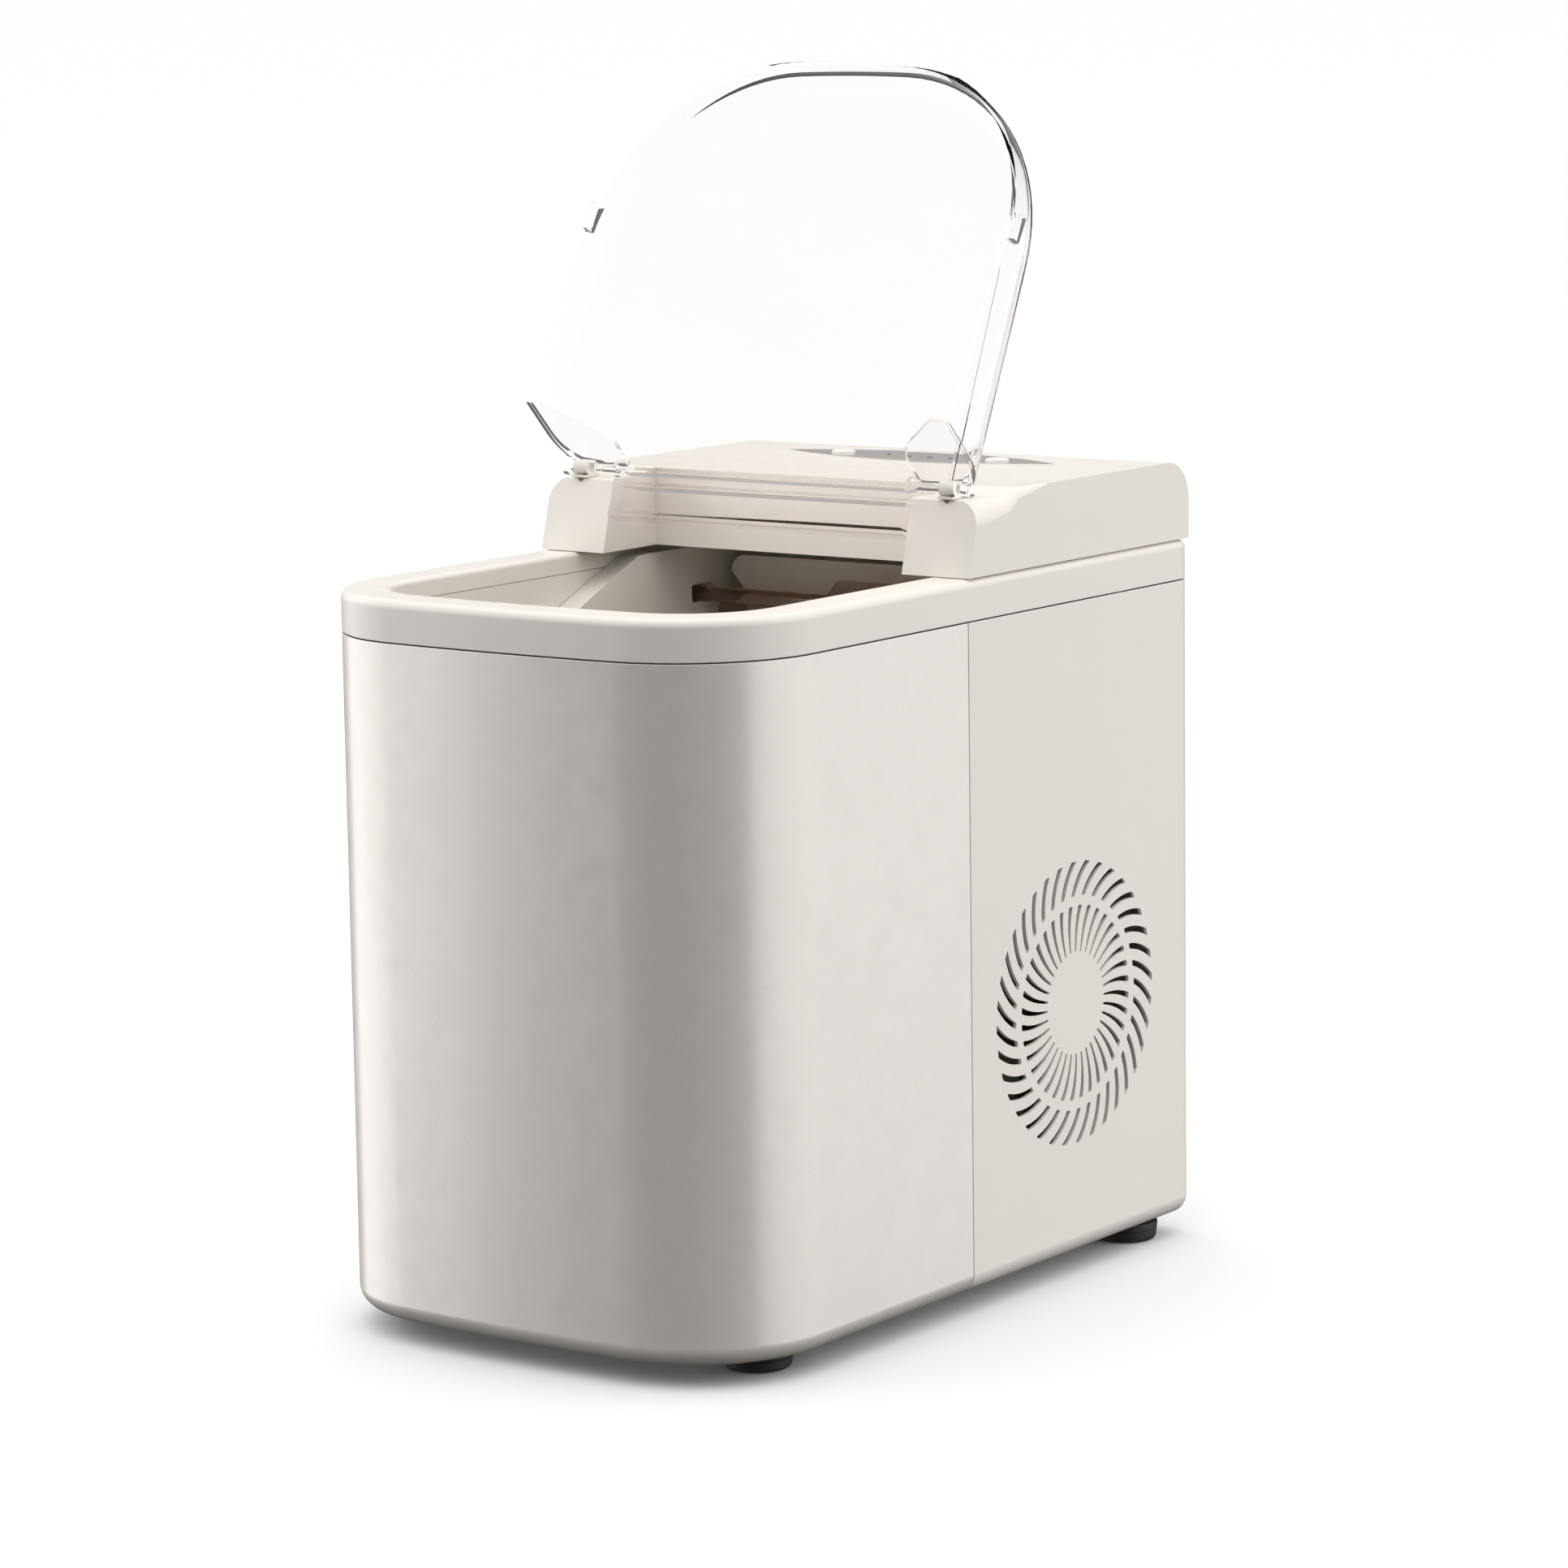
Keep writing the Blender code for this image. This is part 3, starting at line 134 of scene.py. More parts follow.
def spread(tree, source, low, high, start=0.3, end=0.7):
    """A noise value laid out between two values."""
    made = tree.nodes.new("ShaderNodeMapRange")
    made.inputs["From Min"].default_value = start
    made.inputs["From Max"].default_value = end
    made.inputs["To Min"].default_value = low
    made.inputs["To Max"].default_value = high
    link(tree, source, made.inputs["Value"])
    return made.outputs["Result"]


def blended(tree, factor, first, second):
    made = tree.nodes.new("ShaderNodeMix")
    made.data_type = "RGBA"
    link(tree, factor, made.inputs["Factor"])
    for name, value in (("A", first), ("B", second)):
        socket = [s for s in made.inputs if s.name == name and s.type == "RGBA"][0]
        if isinstance(value, tuple):
            socket.default_value = (*value, 1.0)
        else:
            link(tree, value, socket)
    return [s for s in made.outputs if s.type == "RGBA"][0]


def relief(tree, height, depth, under=None):
    """Bump of a depth in millimetres, on top of another one."""
    made = tree.nodes.new("ShaderNodeBump")
    made.inputs["Distance"].default_value = depth * MM
    link(tree, height, made.inputs["Height"])
    if under:
        link(tree, under, made.inputs["Normal"])
    return made.outputs["Normal"]


def scaled(colour, amount):
    return tuple(min(1.0, c * amount) for c in colour)


def new_material(name):
    made = bpy.data.materials.new(name)
    made.use_nodes = True
    return made, made.node_tree, made.node_tree.nodes["Principled BSDF"]


def surface(name, colour, rough, metallic=0.0, mottle=0.03, grain=0.5, grain_depth=0.012,
            wave_depth=0.02, stretch=(1, 1, 1), **fixed):
    """A material whose colour, roughness and relief vary over the surface.

    mottle is how far the colour drifts, grain the fine relief's size and wave_depth how far the
    surface wanders over a few centimetres; fixed are constant inputs of the shader.
    """
    made, tree, shader = new_material(name)
    shader.inputs["Metallic"].default_value = metallic
    for key, value in fixed.items():
        shader.inputs[key.replace("_", " ")].default_value = value
    drift = noise(tree, 38, 4, stretch)
    link(tree, blended(tree, drift, scaled(colour, 1 - mottle), scaled(colour, 1 + mottle)),
         shader.inputs["Base Color"])
    link(tree, spread(tree, noise(tree, 9, 5, stretch), rough * 0.88, min(1, rough * 1.12)),
         shader.inputs["Roughness"])
    fine = relief(tree, noise(tree, grain, 2, stretch), grain_depth)
    link(tree, relief(tree, noise(tree, 45, 1), wave_depth, fine), shader.inputs["Normal"])
    return made


def principled(material):
    return material.node_tree.nodes["Principled BSDF"]


def pearl(name, colour, rough):
    """Silver pearl lacquer: fine flakes that each catch the light a little differently."""
    made = surface(name, colour, rough, metallic=0.28, mottle=0.012, grain=0.35,
                   grain_depth=0.002, wave_depth=0.05, Coat_Weight=0.25, Coat_Roughness=0.12)
    tree, shader = made.node_tree, principled(made)
    place = tree.nodes.new("ShaderNodeTexCoord")
    flakes = tree.nodes.new("ShaderNodeTexVoronoi")
    flakes.inputs["Scale"].default_value = 1 / (0.6 * MM)
    link(tree, place.outputs["Object"], flakes.inputs["Vector"])
    grey = tree.nodes.new("ShaderNodeSeparateColor")
    link(tree, flakes.outputs["Color"], grey.inputs["Color"])
    base = shader.inputs["Base Color"].links[0].from_socket
    factor = spread(tree, grey.outputs["Red"], 0.0, 0.16, 0.0, 1.0)
    link(tree, blended(tree, factor, base, scaled(colour, 1.25)), shader.inputs["Base Color"])
    return made


def clear(name, colour, rough, edge, ior=1.45):
    """Clear moulded plastic with faint flow waves. Where the surface turns edge on, its colour darkens towards
    edge: a painted shade that stands in for the dark lines reflections draw along clear edges.
    """
    made, tree, shader = new_material(name)
    shader.inputs["Transmission Weight"].default_value = 1.0
    shader.inputs["IOR"].default_value = ior
    drift = noise(tree, 60, 2)
    base = blended(tree, drift, scaled(colour, 0.985), colour)
    # The Layer Weight facing term paints shade onto the parts of the surface seen edge on, in place of reflected
    # dark lines.
    painted_edge_shade = tree.nodes.new("ShaderNodeLayerWeight")
    painted_edge_shade.inputs["Blend"].default_value = 0.5
    rim = spread(tree, painted_edge_shade.outputs["Facing"], 0.0, 1.0, 0.55, 1.0)
    link(tree, blended(tree, rim, base, edge), shader.inputs["Base Color"])
    link(tree, spread(tree, noise(tree, 14, 4), rough * 0.5, rough * 1.5),
         shader.inputs["Roughness"])
    link(tree, relief(tree, noise(tree, 50, 1), 0.02), shader.inputs["Normal"])
    return made


def circuit(name):
    """Green solder mask over square-cornered copper tracks."""
    made = surface(name, (0.03, 0.19, 0.07), 0.35, mottle=0.1)
    tree, shader = made.node_tree, principled(made)
    place = tree.nodes.new("ShaderNodeTexCoord")
    tracks = tree.nodes.new("ShaderNodeTexBrick")
    tracks.inputs["Scale"].default_value = 1 / (9 * MM)
    tracks.inputs["Mortar Size"].default_value = 0.06
    link(tree, place.outputs["Object"], tracks.inputs["Vector"])
    base = shader.inputs["Base Color"].links[0].from_socket
    link(tree, blended(tree, tracks.outputs["Fac"], base, (0.08, 0.36, 0.15)),
         shader.inputs["Base Color"])
    return made


LOOKS = {
    "ivory_plastic": surface("ivory_abs", (0.79, 0.745, 0.695), 0.34, mottle=0.01,
                             Specular_IOR_Level=0.45),
    "pearl_shell": pearl("pearl_lacquer", (0.76, 0.72, 0.675), 0.36),
    "liner_plastic": surface("white_liner", (0.77, 0.73, 0.68), 0.42, mottle=0.015),
    # The last colour given to each clear plastic below is its painted edge shade: darker lines where the surface
    # is seen edge on.
    "clear_plastic": clear("clear_polycarbonate", (0.99, 0.983, 0.982), 0.015,
                           (0.60, 0.53, 0.54), ior=1.12),
    "smoke_plastic": clear("smoky_polycarbonate", (0.50, 0.36, 0.27), 0.05, (0.3, 0.2, 0.15)),
    "panel_overlay": surface("panel_film", (0.62, 0.61, 0.61), 0.2, metallic=0.5,
                             mottle=0.06, grain=1.2, stretch=(0.06, 1, 1)),
    "rubber": surface("black_rubber", (0.022, 0.021, 0.022), 0.62, mottle=0.2, grain=0.7,
                      grain_depth=0.03),
    "black_plastic": surface("black_moulding", (0.035, 0.033, 0.034), 0.42, mottle=0.15,
                             grain=0.6, grain_depth=0.02),
    "black_metal": surface("black_lacquer", (0.02, 0.02, 0.021), 0.28, mottle=0.2, grain=1.5,
                           Coat_Weight=0.4),
    "steel": surface("zinc_steel", (0.56, 0.56, 0.58), 0.3, metallic=1.0, mottle=0.09,
                     grain=0.9, stretch=(1, 1, 6)),
    "nickel": surface("nickel_plate", (0.70, 0.68, 0.65), 0.2, metallic=1.0, mottle=0.06),
    "aluminium_fin": surface("fin_aluminium", (0.72, 0.72, 0.74), 0.38, metallic=1.0,
                             mottle=0.08, grain=1.0, stretch=(1, 4, 1)),
    "copper": surface("copper_tube", (0.78, 0.42, 0.27), 0.28, metallic=1.0, mottle=0.14,
                      grain=1.0),
    "circuit_board": circuit("solder_mask"),
    "silicone": surface("milky_silicone", (0.80, 0.80, 0.78), 0.35, mottle=0.03,
                        Subsurface_Weight=0.2),
    "foam": surface("expanded_foam", (0.74, 0.70, 0.60), 0.9, mottle=0.07, grain=3.0,
                    grain_depth=0.5),
}


# ---------------------------------------------------------------- mesh helpers


def linked(name, mesh):
    thing = bpy.data.objects.new(name, mesh)
    bpy.context.scene.collection.objects.link(thing)
    return thing


def from_bmesh(bm, name):
    bmesh.ops.recalc_face_normals(bm, faces=bm.faces)
    mesh = bpy.data.meshes.new(name)
    bm.to_mesh(mesh)
    bm.free()
    return linked(name, mesh)


def evaluated(thing):
    bpy.context.view_layer.update()
    graph = bpy.context.evaluated_depsgraph_get()
    mesh = bpy.data.meshes.new_from_object(thing.evaluated_get(graph))
    mesh.transform(thing.matrix_world)
    return mesh


def baked(thing, *tools):
    """The object with its modifiers applied and its place in its mesh; the tools are removed."""
    mesh = evaluated(thing)
    name = thing.name
    for old in (thing, *tools):
        bpy.data.objects.remove(old, do_unlink=True)
    return linked(name, mesh)


def boolean(target, operation, pieces):
    for piece in pieces:
        step = target.modifiers.new(piece.name, "BOOLEAN")
        step.operation = operation
        step.object = piece
        step.solver = "EXACT"
    return baked(target, *pieces)


def cut(target, *pieces):
    return boolean(target, "DIFFERENCE", pieces)


def fuse(target, *pieces):
    return boolean(target, "UNION", pieces)


def soften(thing, width, segments=2, angle=50):
    """Rounds every edge that is sharper than the angle."""
    step = thing.modifiers.new("soft_edges", "BEVEL")
    step.width = width * MM
    step.segments = segments
    step.limit_method = "ANGLE"
    step.angle_limit = math.radians(angle)
    step.miter_outer = "MITER_ARC"
    return baked(thing)


def grouped(name, pieces):
    """Several solids in one object."""
    bm = bmesh.new()
    for piece in pieces:
        piece.data.transform(piece.matrix_world)
        bm.from_mesh(piece.data)
        bpy.data.objects.remove(piece, do_unlink=True)
    return from_bmesh(bm, name)


def show(thing, body, slot, hides=(), sharp=35):
    """The finished piece: its look, its shading, its body and the CAD nodes it stands for."""
    thing.data.materials.clear()
    thing.data.materials.append(LOOKS[slot])
    thing.data.shade_smooth()
    thing.data.set_sharp_from_angle(angle=math.radians(sharp))
    weights = thing.modifiers.new("even_normals", "WEIGHTED_NORMAL")
    weights.keep_sharp = True
    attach(thing, body)
    if hides:
        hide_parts(*hides)
    return thing


def block(name, low, high, bevel=0.0):
    bm = bmesh.new()
    bmesh.ops.create_cube(bm, size=1.0)
    bmesh.ops.scale(bm, vec=[(b - a) * MM for a, b in zip(low, high)], verts=bm.verts)
    bmesh.ops.translate(bm, vec=[(a + b) / 2 * MM for a, b in zip(low, high)], verts=bm.verts)
    if bevel:
        bmesh.ops.bevel(bm, geom=bm.edges[:], offset=bevel * MM, segments=3, profile=0.5,
                        affect="EDGES")
    return from_bmesh(bm, name)


def rod(name, start, end, radius, sides=40):
    a, b = Vector(start) * MM, Vector(end) * MM
    bm = bmesh.new()
    bmesh.ops.create_cone(bm, cap_ends=True, segments=sides, radius1=radius * MM,
                          radius2=radius * MM, depth=(b - a).length)
    turn = Vector((0, 0, 1)).rotation_difference(b - a).to_matrix().to_4x4()
    bmesh.ops.transform(bm, matrix=Matrix.Translation((a + b) / 2) @ turn, verts=bm.verts)
    return from_bmesh(bm, name)


TURNS = {
    "X": Matrix(((0, 0, 1, 0), (1, 0, 0, 0), (0, 1, 0, 0), (0, 0, 0, 1))),
    "Y": Matrix(((1, 0, 0, 0), (0, 0, -1, 0), (0, 1, 0, 0), (0, 0, 0, 1))),
    "Z": Matrix.Identity(4),
}


def prism(name, outlines, low, high, axis="Z"):
    """Flat outlines, the first outside and the rest holes, drawn out between two heights."""
    curve = bpy.data.curves.new(name, "CURVE")
    curve.dimensions = "2D"
    curve.fill_mode = "BOTH"
    curve.extrude = (high - low) / 2 * MM
    for outline in outlines:
        spline = curve.splines.new("POLY")
        spline.points.add(len(outline) - 1)
        spline.use_cyclic_u = True
        for point, (u, v) in zip(spline.points, outline):
            point.co = (u * MM, v * MM, 0, 1)
    thing = linked(name, curve)
    centre = [(low + high) / 2 * MM if a == axis else 0 for a in "XYZ"]
    thing.matrix_world = Matrix.Translation(centre) @ TURNS[axis]
    return welded(thing)


def tube(name, points, radius):
    """A round tube along straight runs between the points."""
    curve = bpy.data.curves.new(name, "CURVE")
    curve.dimensions = "3D"
    curve.bevel_depth = radius * MM
    curve.bevel_resolution = 6
    curve.use_fill_caps = True
    spline = curve.splines.new("POLY")
    spline.points.add(len(points) - 1)
    for point, at in zip(spline.points, points):
        point.co = (*(Vector(at) * MM), 1)
    return welded(linked(name, curve))


def welded(curve_object):
    mesh = evaluated(curve_object)
    name = curve_object.name
    bpy.data.objects.remove(curve_object, do_unlink=True)
    bm = bmesh.new()
    bm.from_mesh(mesh)
    bmesh.ops.remove_doubles(bm, verts=bm.verts, dist=1e-6)
    return from_bmesh(bm, name)


def turned(name, profile, at, steps=64):
    """A profile of (radius, height), top to bottom, turned about the upright line at a point."""
    bm = bmesh.new()
    rings = []
    for radius, height in profile:
        if radius == 0:
            rings.append([bm.verts.new((Vector(at) + Vector((0, 0, height))) * MM)] * steps)
            continue
        ring = []
        for i in range(steps):
            turn = 2 * math.pi * i / steps
            spot = (radius * math.cos(turn), radius * math.sin(turn), height)
            ring.append(bm.verts.new((Vector(at) + Vector(spot)) * MM))
        rings.append(ring)
    pairs = list(zip(rings, rings[1:]))
    if profile[0][0] and profile[-1][0]:
        pairs.append((rings[-1], rings[0]))
    for upper, lower in pairs:
        for i in range(steps):
            j = (i + 1) % steps
            corners = [upper[i], upper[j], lower[j], lower[i]]
            unique = [c for n, c in enumerate(corners) if c not in corners[:n]]
            if len(unique) > 2:
                bm.faces.new(unique)
    return from_bmesh(bm, name)


def skin(name, rows, ring=False, loop=False, cap_first=False, cap_last=False):
    """A skin through rows of points. ring closes each row, loop joins the last to the first."""
    bm = bmesh.new()
    grid = [[bm.verts.new(Vector(p) * MM) for p in row] for row in rows]
    for low, high in list(zip(grid, grid[1:])) + ([(grid[-1], grid[0])] if loop else []):
        count = len(low)
        for i in range(count if ring else count - 1):
            j = (i + 1) % count
            bm.faces.new((low[i], low[j], high[j], high[i]))
    if cap_first:
        bm.faces.new(grid[0])
    if cap_last:
        bm.faces.new(grid[-1])
    return from_bmesh(bm, name)


def thicken(thing, wall):
    step = thing.modifiers.new("wall", "SOLIDIFY")
    step.thickness = wall * MM
    step.offset = -1.0
    step.use_even_offset = True
    return baked(thing)


def arc(centre, radius, start, end, steps):
    """Points on an arc between two angles in degrees, both ends included."""
    turns = [math.radians(start + (end - start) * i / steps) for i in range(steps + 1)]
    return [(centre[0] + radius * math.cos(t), centre[1] + radius * math.sin(t)) for t in turns]


def rounded(points, radius, steps=5):
    """A closed outline with each corner rounded; radius is one number or one for each corner."""
    out = []
    count = len(points)
    for i, here in enumerate(points):
        size = radius[i] if isinstance(radius, (list, tuple)) else radius
        here = Vector(here)
        back = (Vector(points[i - 1]) - here)
        on = (Vector(points[(i + 1) % count]) - here)
        if not size:
            out.append(tuple(here))
            continue
        half = back.angle(on) / 2
        reach = min(size / math.tan(half), back.length * 0.49, on.length * 0.49)
        start, end = here + back.normalized() * reach, here + on.normalized() * reach
        for k in range(steps + 1):
            t = k / steps
            spot = (1 - t) ** 2 * start + 2 * t * (1 - t) * here + t**2 * end
            out.append(tuple(spot))
    return out


def rectangle(low, high):
    """The corners of a flat box between two points."""
    return [low, (high[0], low[1]), high, (low[0], high[1])]


# ---------------------------------------------------------------- plan outline of the case


def front_curve(inset, corner_radius):
    """The rounded front, from the right side round to the left side."""
    half = HALF_WIDTH - inset
    corner = max(corner_radius - inset, 4.0)
    big = FRONT_ARC - inset
    middle_y = FRONT_Y + FRONT_ARC
    corner_x = half - corner
    corner_y = middle_y - math.sqrt((big - corner) ** 2 - corner_x**2)
    end = math.degrees(math.atan2(corner_y - middle_y, corner_x))
    right = arc((corner_x, corner_y), corner, 0, end, 20)
    across = arc((0, middle_y), big, end, -180 - end, 12)[1:-1]
    return right + across + [(-x, y) for x, y in reversed(right)]


def open_front(inset, rear_y, corner_radius=FRONT_CORNER):
    """The front curve with straight sides back to rear_y."""
    half = HALF_WIDTH - inset
    return [(half, rear_y), *front_curve(inset, corner_radius), (-half, rear_y)]


def open_rear(inset, front_y):
    """The rear half: left side, square back with rounded corners, right side."""
    half = HALF_WIDTH - inset
    corner = max(REAR_CORNER - inset, 1.0)
    back = REAR_Y - inset
    right = arc((half - corner, back - corner), corner, 90, 0, 8)
    left = [(-x, y) for x, y in reversed(right)]
    return [(-half, front_y), *left, *right, (half, front_y)]


def full_outline(inset):
    return open_front(inset, 0.0) + open_rear(inset, 0.0)[1:-1]


def at_height(points, z):
    return [(x, y, z) for x, y in points]


# ---------------------------------------------------------------- case


def casing_rows(path):
    """A turned-in lip under the case, a rounded edge, the tall wall and its softened top edge."""
    steps = 8
    rows = [at_height(path(CASE_LIP), CASE_LOW)]
    for i in range(steps + 1):
        turn = math.radians(90 * i / steps)
        inset = BOTTOM_ROUND * (1 - math.sin(turn))
        rows.append(at_height(path(inset), CASE_LOW + BOTTOM_ROUND * (1 - math.cos(turn))))
    rows.append(at_height(path(0.0), SHELL_TOP - 0.5))
    rows.append(at_height(path(0.15), SHELL_TOP - 0.15))
    rows.append(at_height(path(0.5), SHELL_TOP))
    return [list(reversed(row)) for row in rows]


def make_front_shell():
    rows = casing_rows(lambda inset: open_front(inset, FRONT_SEAM))
    shell = soften(thicken(skin("front_casing", rows), WALL), 0.4, 2, 60)
    show(shell, "housing", "pearl_shell", ["front_shell"])


def swirl_slot(index, inner, outer, inner_width, outer_width):
    """One grille slot between two radii, as parts of the grille's radius, as (y, z) points."""
    steps = 9
    first = 360.0 / GRILLE_SLOTS * index
    sides = [[], []]
    for i in range(steps + 1):
        part = inner + (outer - inner) * i / steps
        width = inner_width + (outer_width - inner_width) * i / steps
        turn = first - GRILLE_TWIST * (part - GRILLE_CORE) ** 2
        for line, sign in zip(sides, (-1, 1)):
            angle = math.radians(turn + sign * width / 2)
            radius = part * GRILLE_RADIUS
            line.append((FAN[1] + radius * math.cos(angle), FAN[2] + radius * math.sin(angle)))
    outline = sides[0] + list(reversed(sides[1]))
    radii = [0.0] * len(outline)
    radii[0] = radii[steps] = radii[steps + 1] = radii[-1] = 0.7
    return rounded(outline, radii, 3)


def make_rear_housing():
    rows = casing_rows(lambda inset: open_rear(inset, REAR_SEAM))
    housing = thicken(skin("rear_casing", rows), WALL)
    low, high = HALF_WIDTH - 4, HALF_WIDTH + 4
    slots = []
    for i in range(GRILLE_SLOTS):
        slots.append(prism("slot", [swirl_slot(i, 0.757, 1.0, 3.4, 3.6)], low, high, "X"))
        slots.append(prism("slot", [swirl_slot(i, 0.36, 0.69, 2.4, 3.9)], low, high, "X"))
    vents = []
    for column in (0, 1):
        for row in range(12):
            y, z = 40 + 62 * column, 60 + 10 * row
            outline = rounded(rectangle((y, z), (y + 52, z + 4)), 1.95, 6)
            vents.append(prism("vent", [outline], -high, -low, "X"))
    (x0, x1), (z0, z1) = span("power_inlet", X), span("power_inlet", Z)
    inlet = rounded(rectangle((x0 - 0.5, z0 - 0.5), (x1 + 0.5, z1 + 0.5)), 2)
    inlet = prism("inlet_hole", [inlet], REAR_Y - 6, REAR_Y + 6, "Y")
    screws = [
        rod("screw_hole", (middle(n, X), REAR_Y - 6, middle(n, Z)),
            (middle(n, X), REAR_Y + 6, middle(n, Z)), 4.3)
        for n in (f"rear_screw_{i}" for i in range(1, 5))
    ]
    housing = cut(housing, grouped("slots", slots), grouped("vents", vents),
                  grouped("rear_holes", [inlet, *screws]))
    show(soften(housing, 0.3), "housing", "ivory_plastic", ["rear_housing"])


def make_top_frame():
    """The collar: outer wall, rounded top edge, flat rim, small inner edge, short inner wall."""
    low = RIM_LOW
    section = [(0.4, low), (0.1, low + 0.15), (0.0, low + 0.5)]
    section += [(4.0 + x, z) for x, z in arc((0, RIM_TOP - 4.0), 4.0, 180, 90, 8)]
    section += [(RIM_WIDTH - 2.2 + x, z) for x, z in arc((0, RIM_TOP - 2.2), 2.2, 90, 0, 6)]
    section += [
        (RIM_WIDTH, WELL_TOP + 0.3), (RIM_WIDTH - WELL_WALL, WELL_TOP + 0.3),
        (RIM_WIDTH - WELL_WALL, RIM_TOP - 3.0), (WALL, RIM_TOP - 4.5), (WALL, low),
    ]
    rows = [at_height(full_outline(inset), z) for inset, z in section]
    show(skin("rim_collar", rows, ring=True, loop=True), "housing", "ivory_plastic",
         ["top_frame"])


def make_base():
    """The floor pan: a rim, crossed ribs, air slots and a drain hole, seen from below."""
    low, high = span("base_tray", Z)
    pan = prism("floor_pan", [full_outline(6.0)], low, high)
    tools = [rod("drain_hole", (DRAIN[0], DRAIN[1], 0), (DRAIN[0], DRAIN[1], 30), 11.0)]
    for column in (-1, 1):
        for row in range(7):
            x, y = 48 * column, 10 + 18 * row
            line = rounded(rectangle((x - 26, y), (x + 26, y + 5)), 2.4)
            tools.append(prism("air_slot", [line], low - 2, low + 1.2))
    for bay in range(3):
        x = -62 + 62 * bay
        tools.append(block("bay", (x - 28, -46, low - 2), (x + 28, 2, low + 0.6)))
    pan = cut(pan, grouped("pan_tools", tools))
    show(soften(pan, 0.3), "housing", "ivory_plastic", ["base_tray"])


def make_feet():
    for node in ("foot_front_left", "foot_front_right", "foot_rear_left", "foot_rear_right"):
        top = side(node, Z, 1)
        profile = [(0, top), (6, top), (6, 8.6), (14.6, 8.6), (15.3, 8.2), (15.5, 7.6)]
        profile += [(15.3, 5.2), (14.9, 4.9), (15.2, 4.6), (14.8, 1.4), (14.4, 0.5), (13.6, 0),
                    (4.6, 0), (4.4, 0.4), (4.2, 2.4), (0, 2.4)]
        foot = turned(node + "_pad", profile, (middle(node, X), middle(node, Y), 0))
        show(foot, "housing", "rubber", [node])


def make_drain():
    x, y = DRAIN[:2]
    low, high = span("drain_cap", Z)
    profile = [(0, high), (6.6, high), (7.2, high - 0.6), (7.6, high - 1.2), (7.6, 10.5),
               (14.4, 10.5), (15, 9.9), (15, 4.4), (14.6, 3.6), (13.6, 3.2), (0, 3.2)]
    cap = turned("drain_plug_cap", profile, (x, y, 0), 48)
    grip = block("grip", (x - 12, y - 1.6, low), (x + 12, y + 1.6, 4.0), 0.5)
    notches = []
    for i in range(16):
        turn = 2 * math.pi * (i + 0.5) / 16
        at = (x + 15.6 * math.cos(turn), y + 15.6 * math.sin(turn))
        notches.append(rod("notch", (*at, 2), (*at, 12), 1.3, 12))
    cap = cut(fuse(cap, grip), grouped("notches", notches))
    show(soften(cap, 0.25), "drain_plug", "ivory_plastic", ["drain_cap"])


# ---------------------------------------------------------------- rear cover and panel


def hood():
    """The cover's side profile, towers in front, drawn across the machine."""
    top, rear, bottom = COVER_TOP, COVER_REAR, COVER_LOW
    centre = (rear - COVER_REAR_ROUND, top - COVER_REAR_ROUND)
    fillet = arc(centre, COVER_REAR_ROUND, 90, 0, 12)
    outline = [(0.0, bottom), (TOWER_LEAN, TOWER_TOP), (RECESS_Y - 7.0, TOWER_TOP),
               (RECESS_Y, top), (rear, top)]
    outline = rounded(outline, [0, 1.2, 6.0, 6.0, 0], 5)[:-1]
    return prism("rear_cover", [outline + [*fillet, (rear, bottom)]], -COVER_SIDE, COVER_SIDE, "X")


def lens_outline(grow=0.0):
    """The control panel's pointed oval: two equal arcs."""
    half = extent("control_panel", X) / 2 + grow
    depth = extent("control_panel", Y) / 2 + grow
    radius = (half**2 + depth**2) / (2 * depth)
    reach = math.degrees(math.asin(half / radius))
    upper = arc((0, PANEL_Y + depth - radius), radius, 90 - reach, 90 + reach, 36)
    lower = arc((0, PANEL_Y - depth + radius), radius, 270 - reach, 270 + reach, 36)
    return upper + lower[1:-1]


def tower_shaving(sign):
    """What comes off a tower's outer top corner: its rounding fades out along the cover."""
    rows = []
    for y, radius, top in TOWER_ROUND:
        x, z = COVER_SIDE - radius + 0.06, top - radius + 0.06
        ring = arc((x, z), radius, 90, 0, 12)
        ring += [(COVER_SIDE + 3, z), (COVER_SIDE + 3, top + 5), (x, top + 5)]
        rows.append([(sign * x, y, z) for x, z in ring])
    return skin("tower_shaving", rows, ring=True, cap_first=True, cap_last=True)


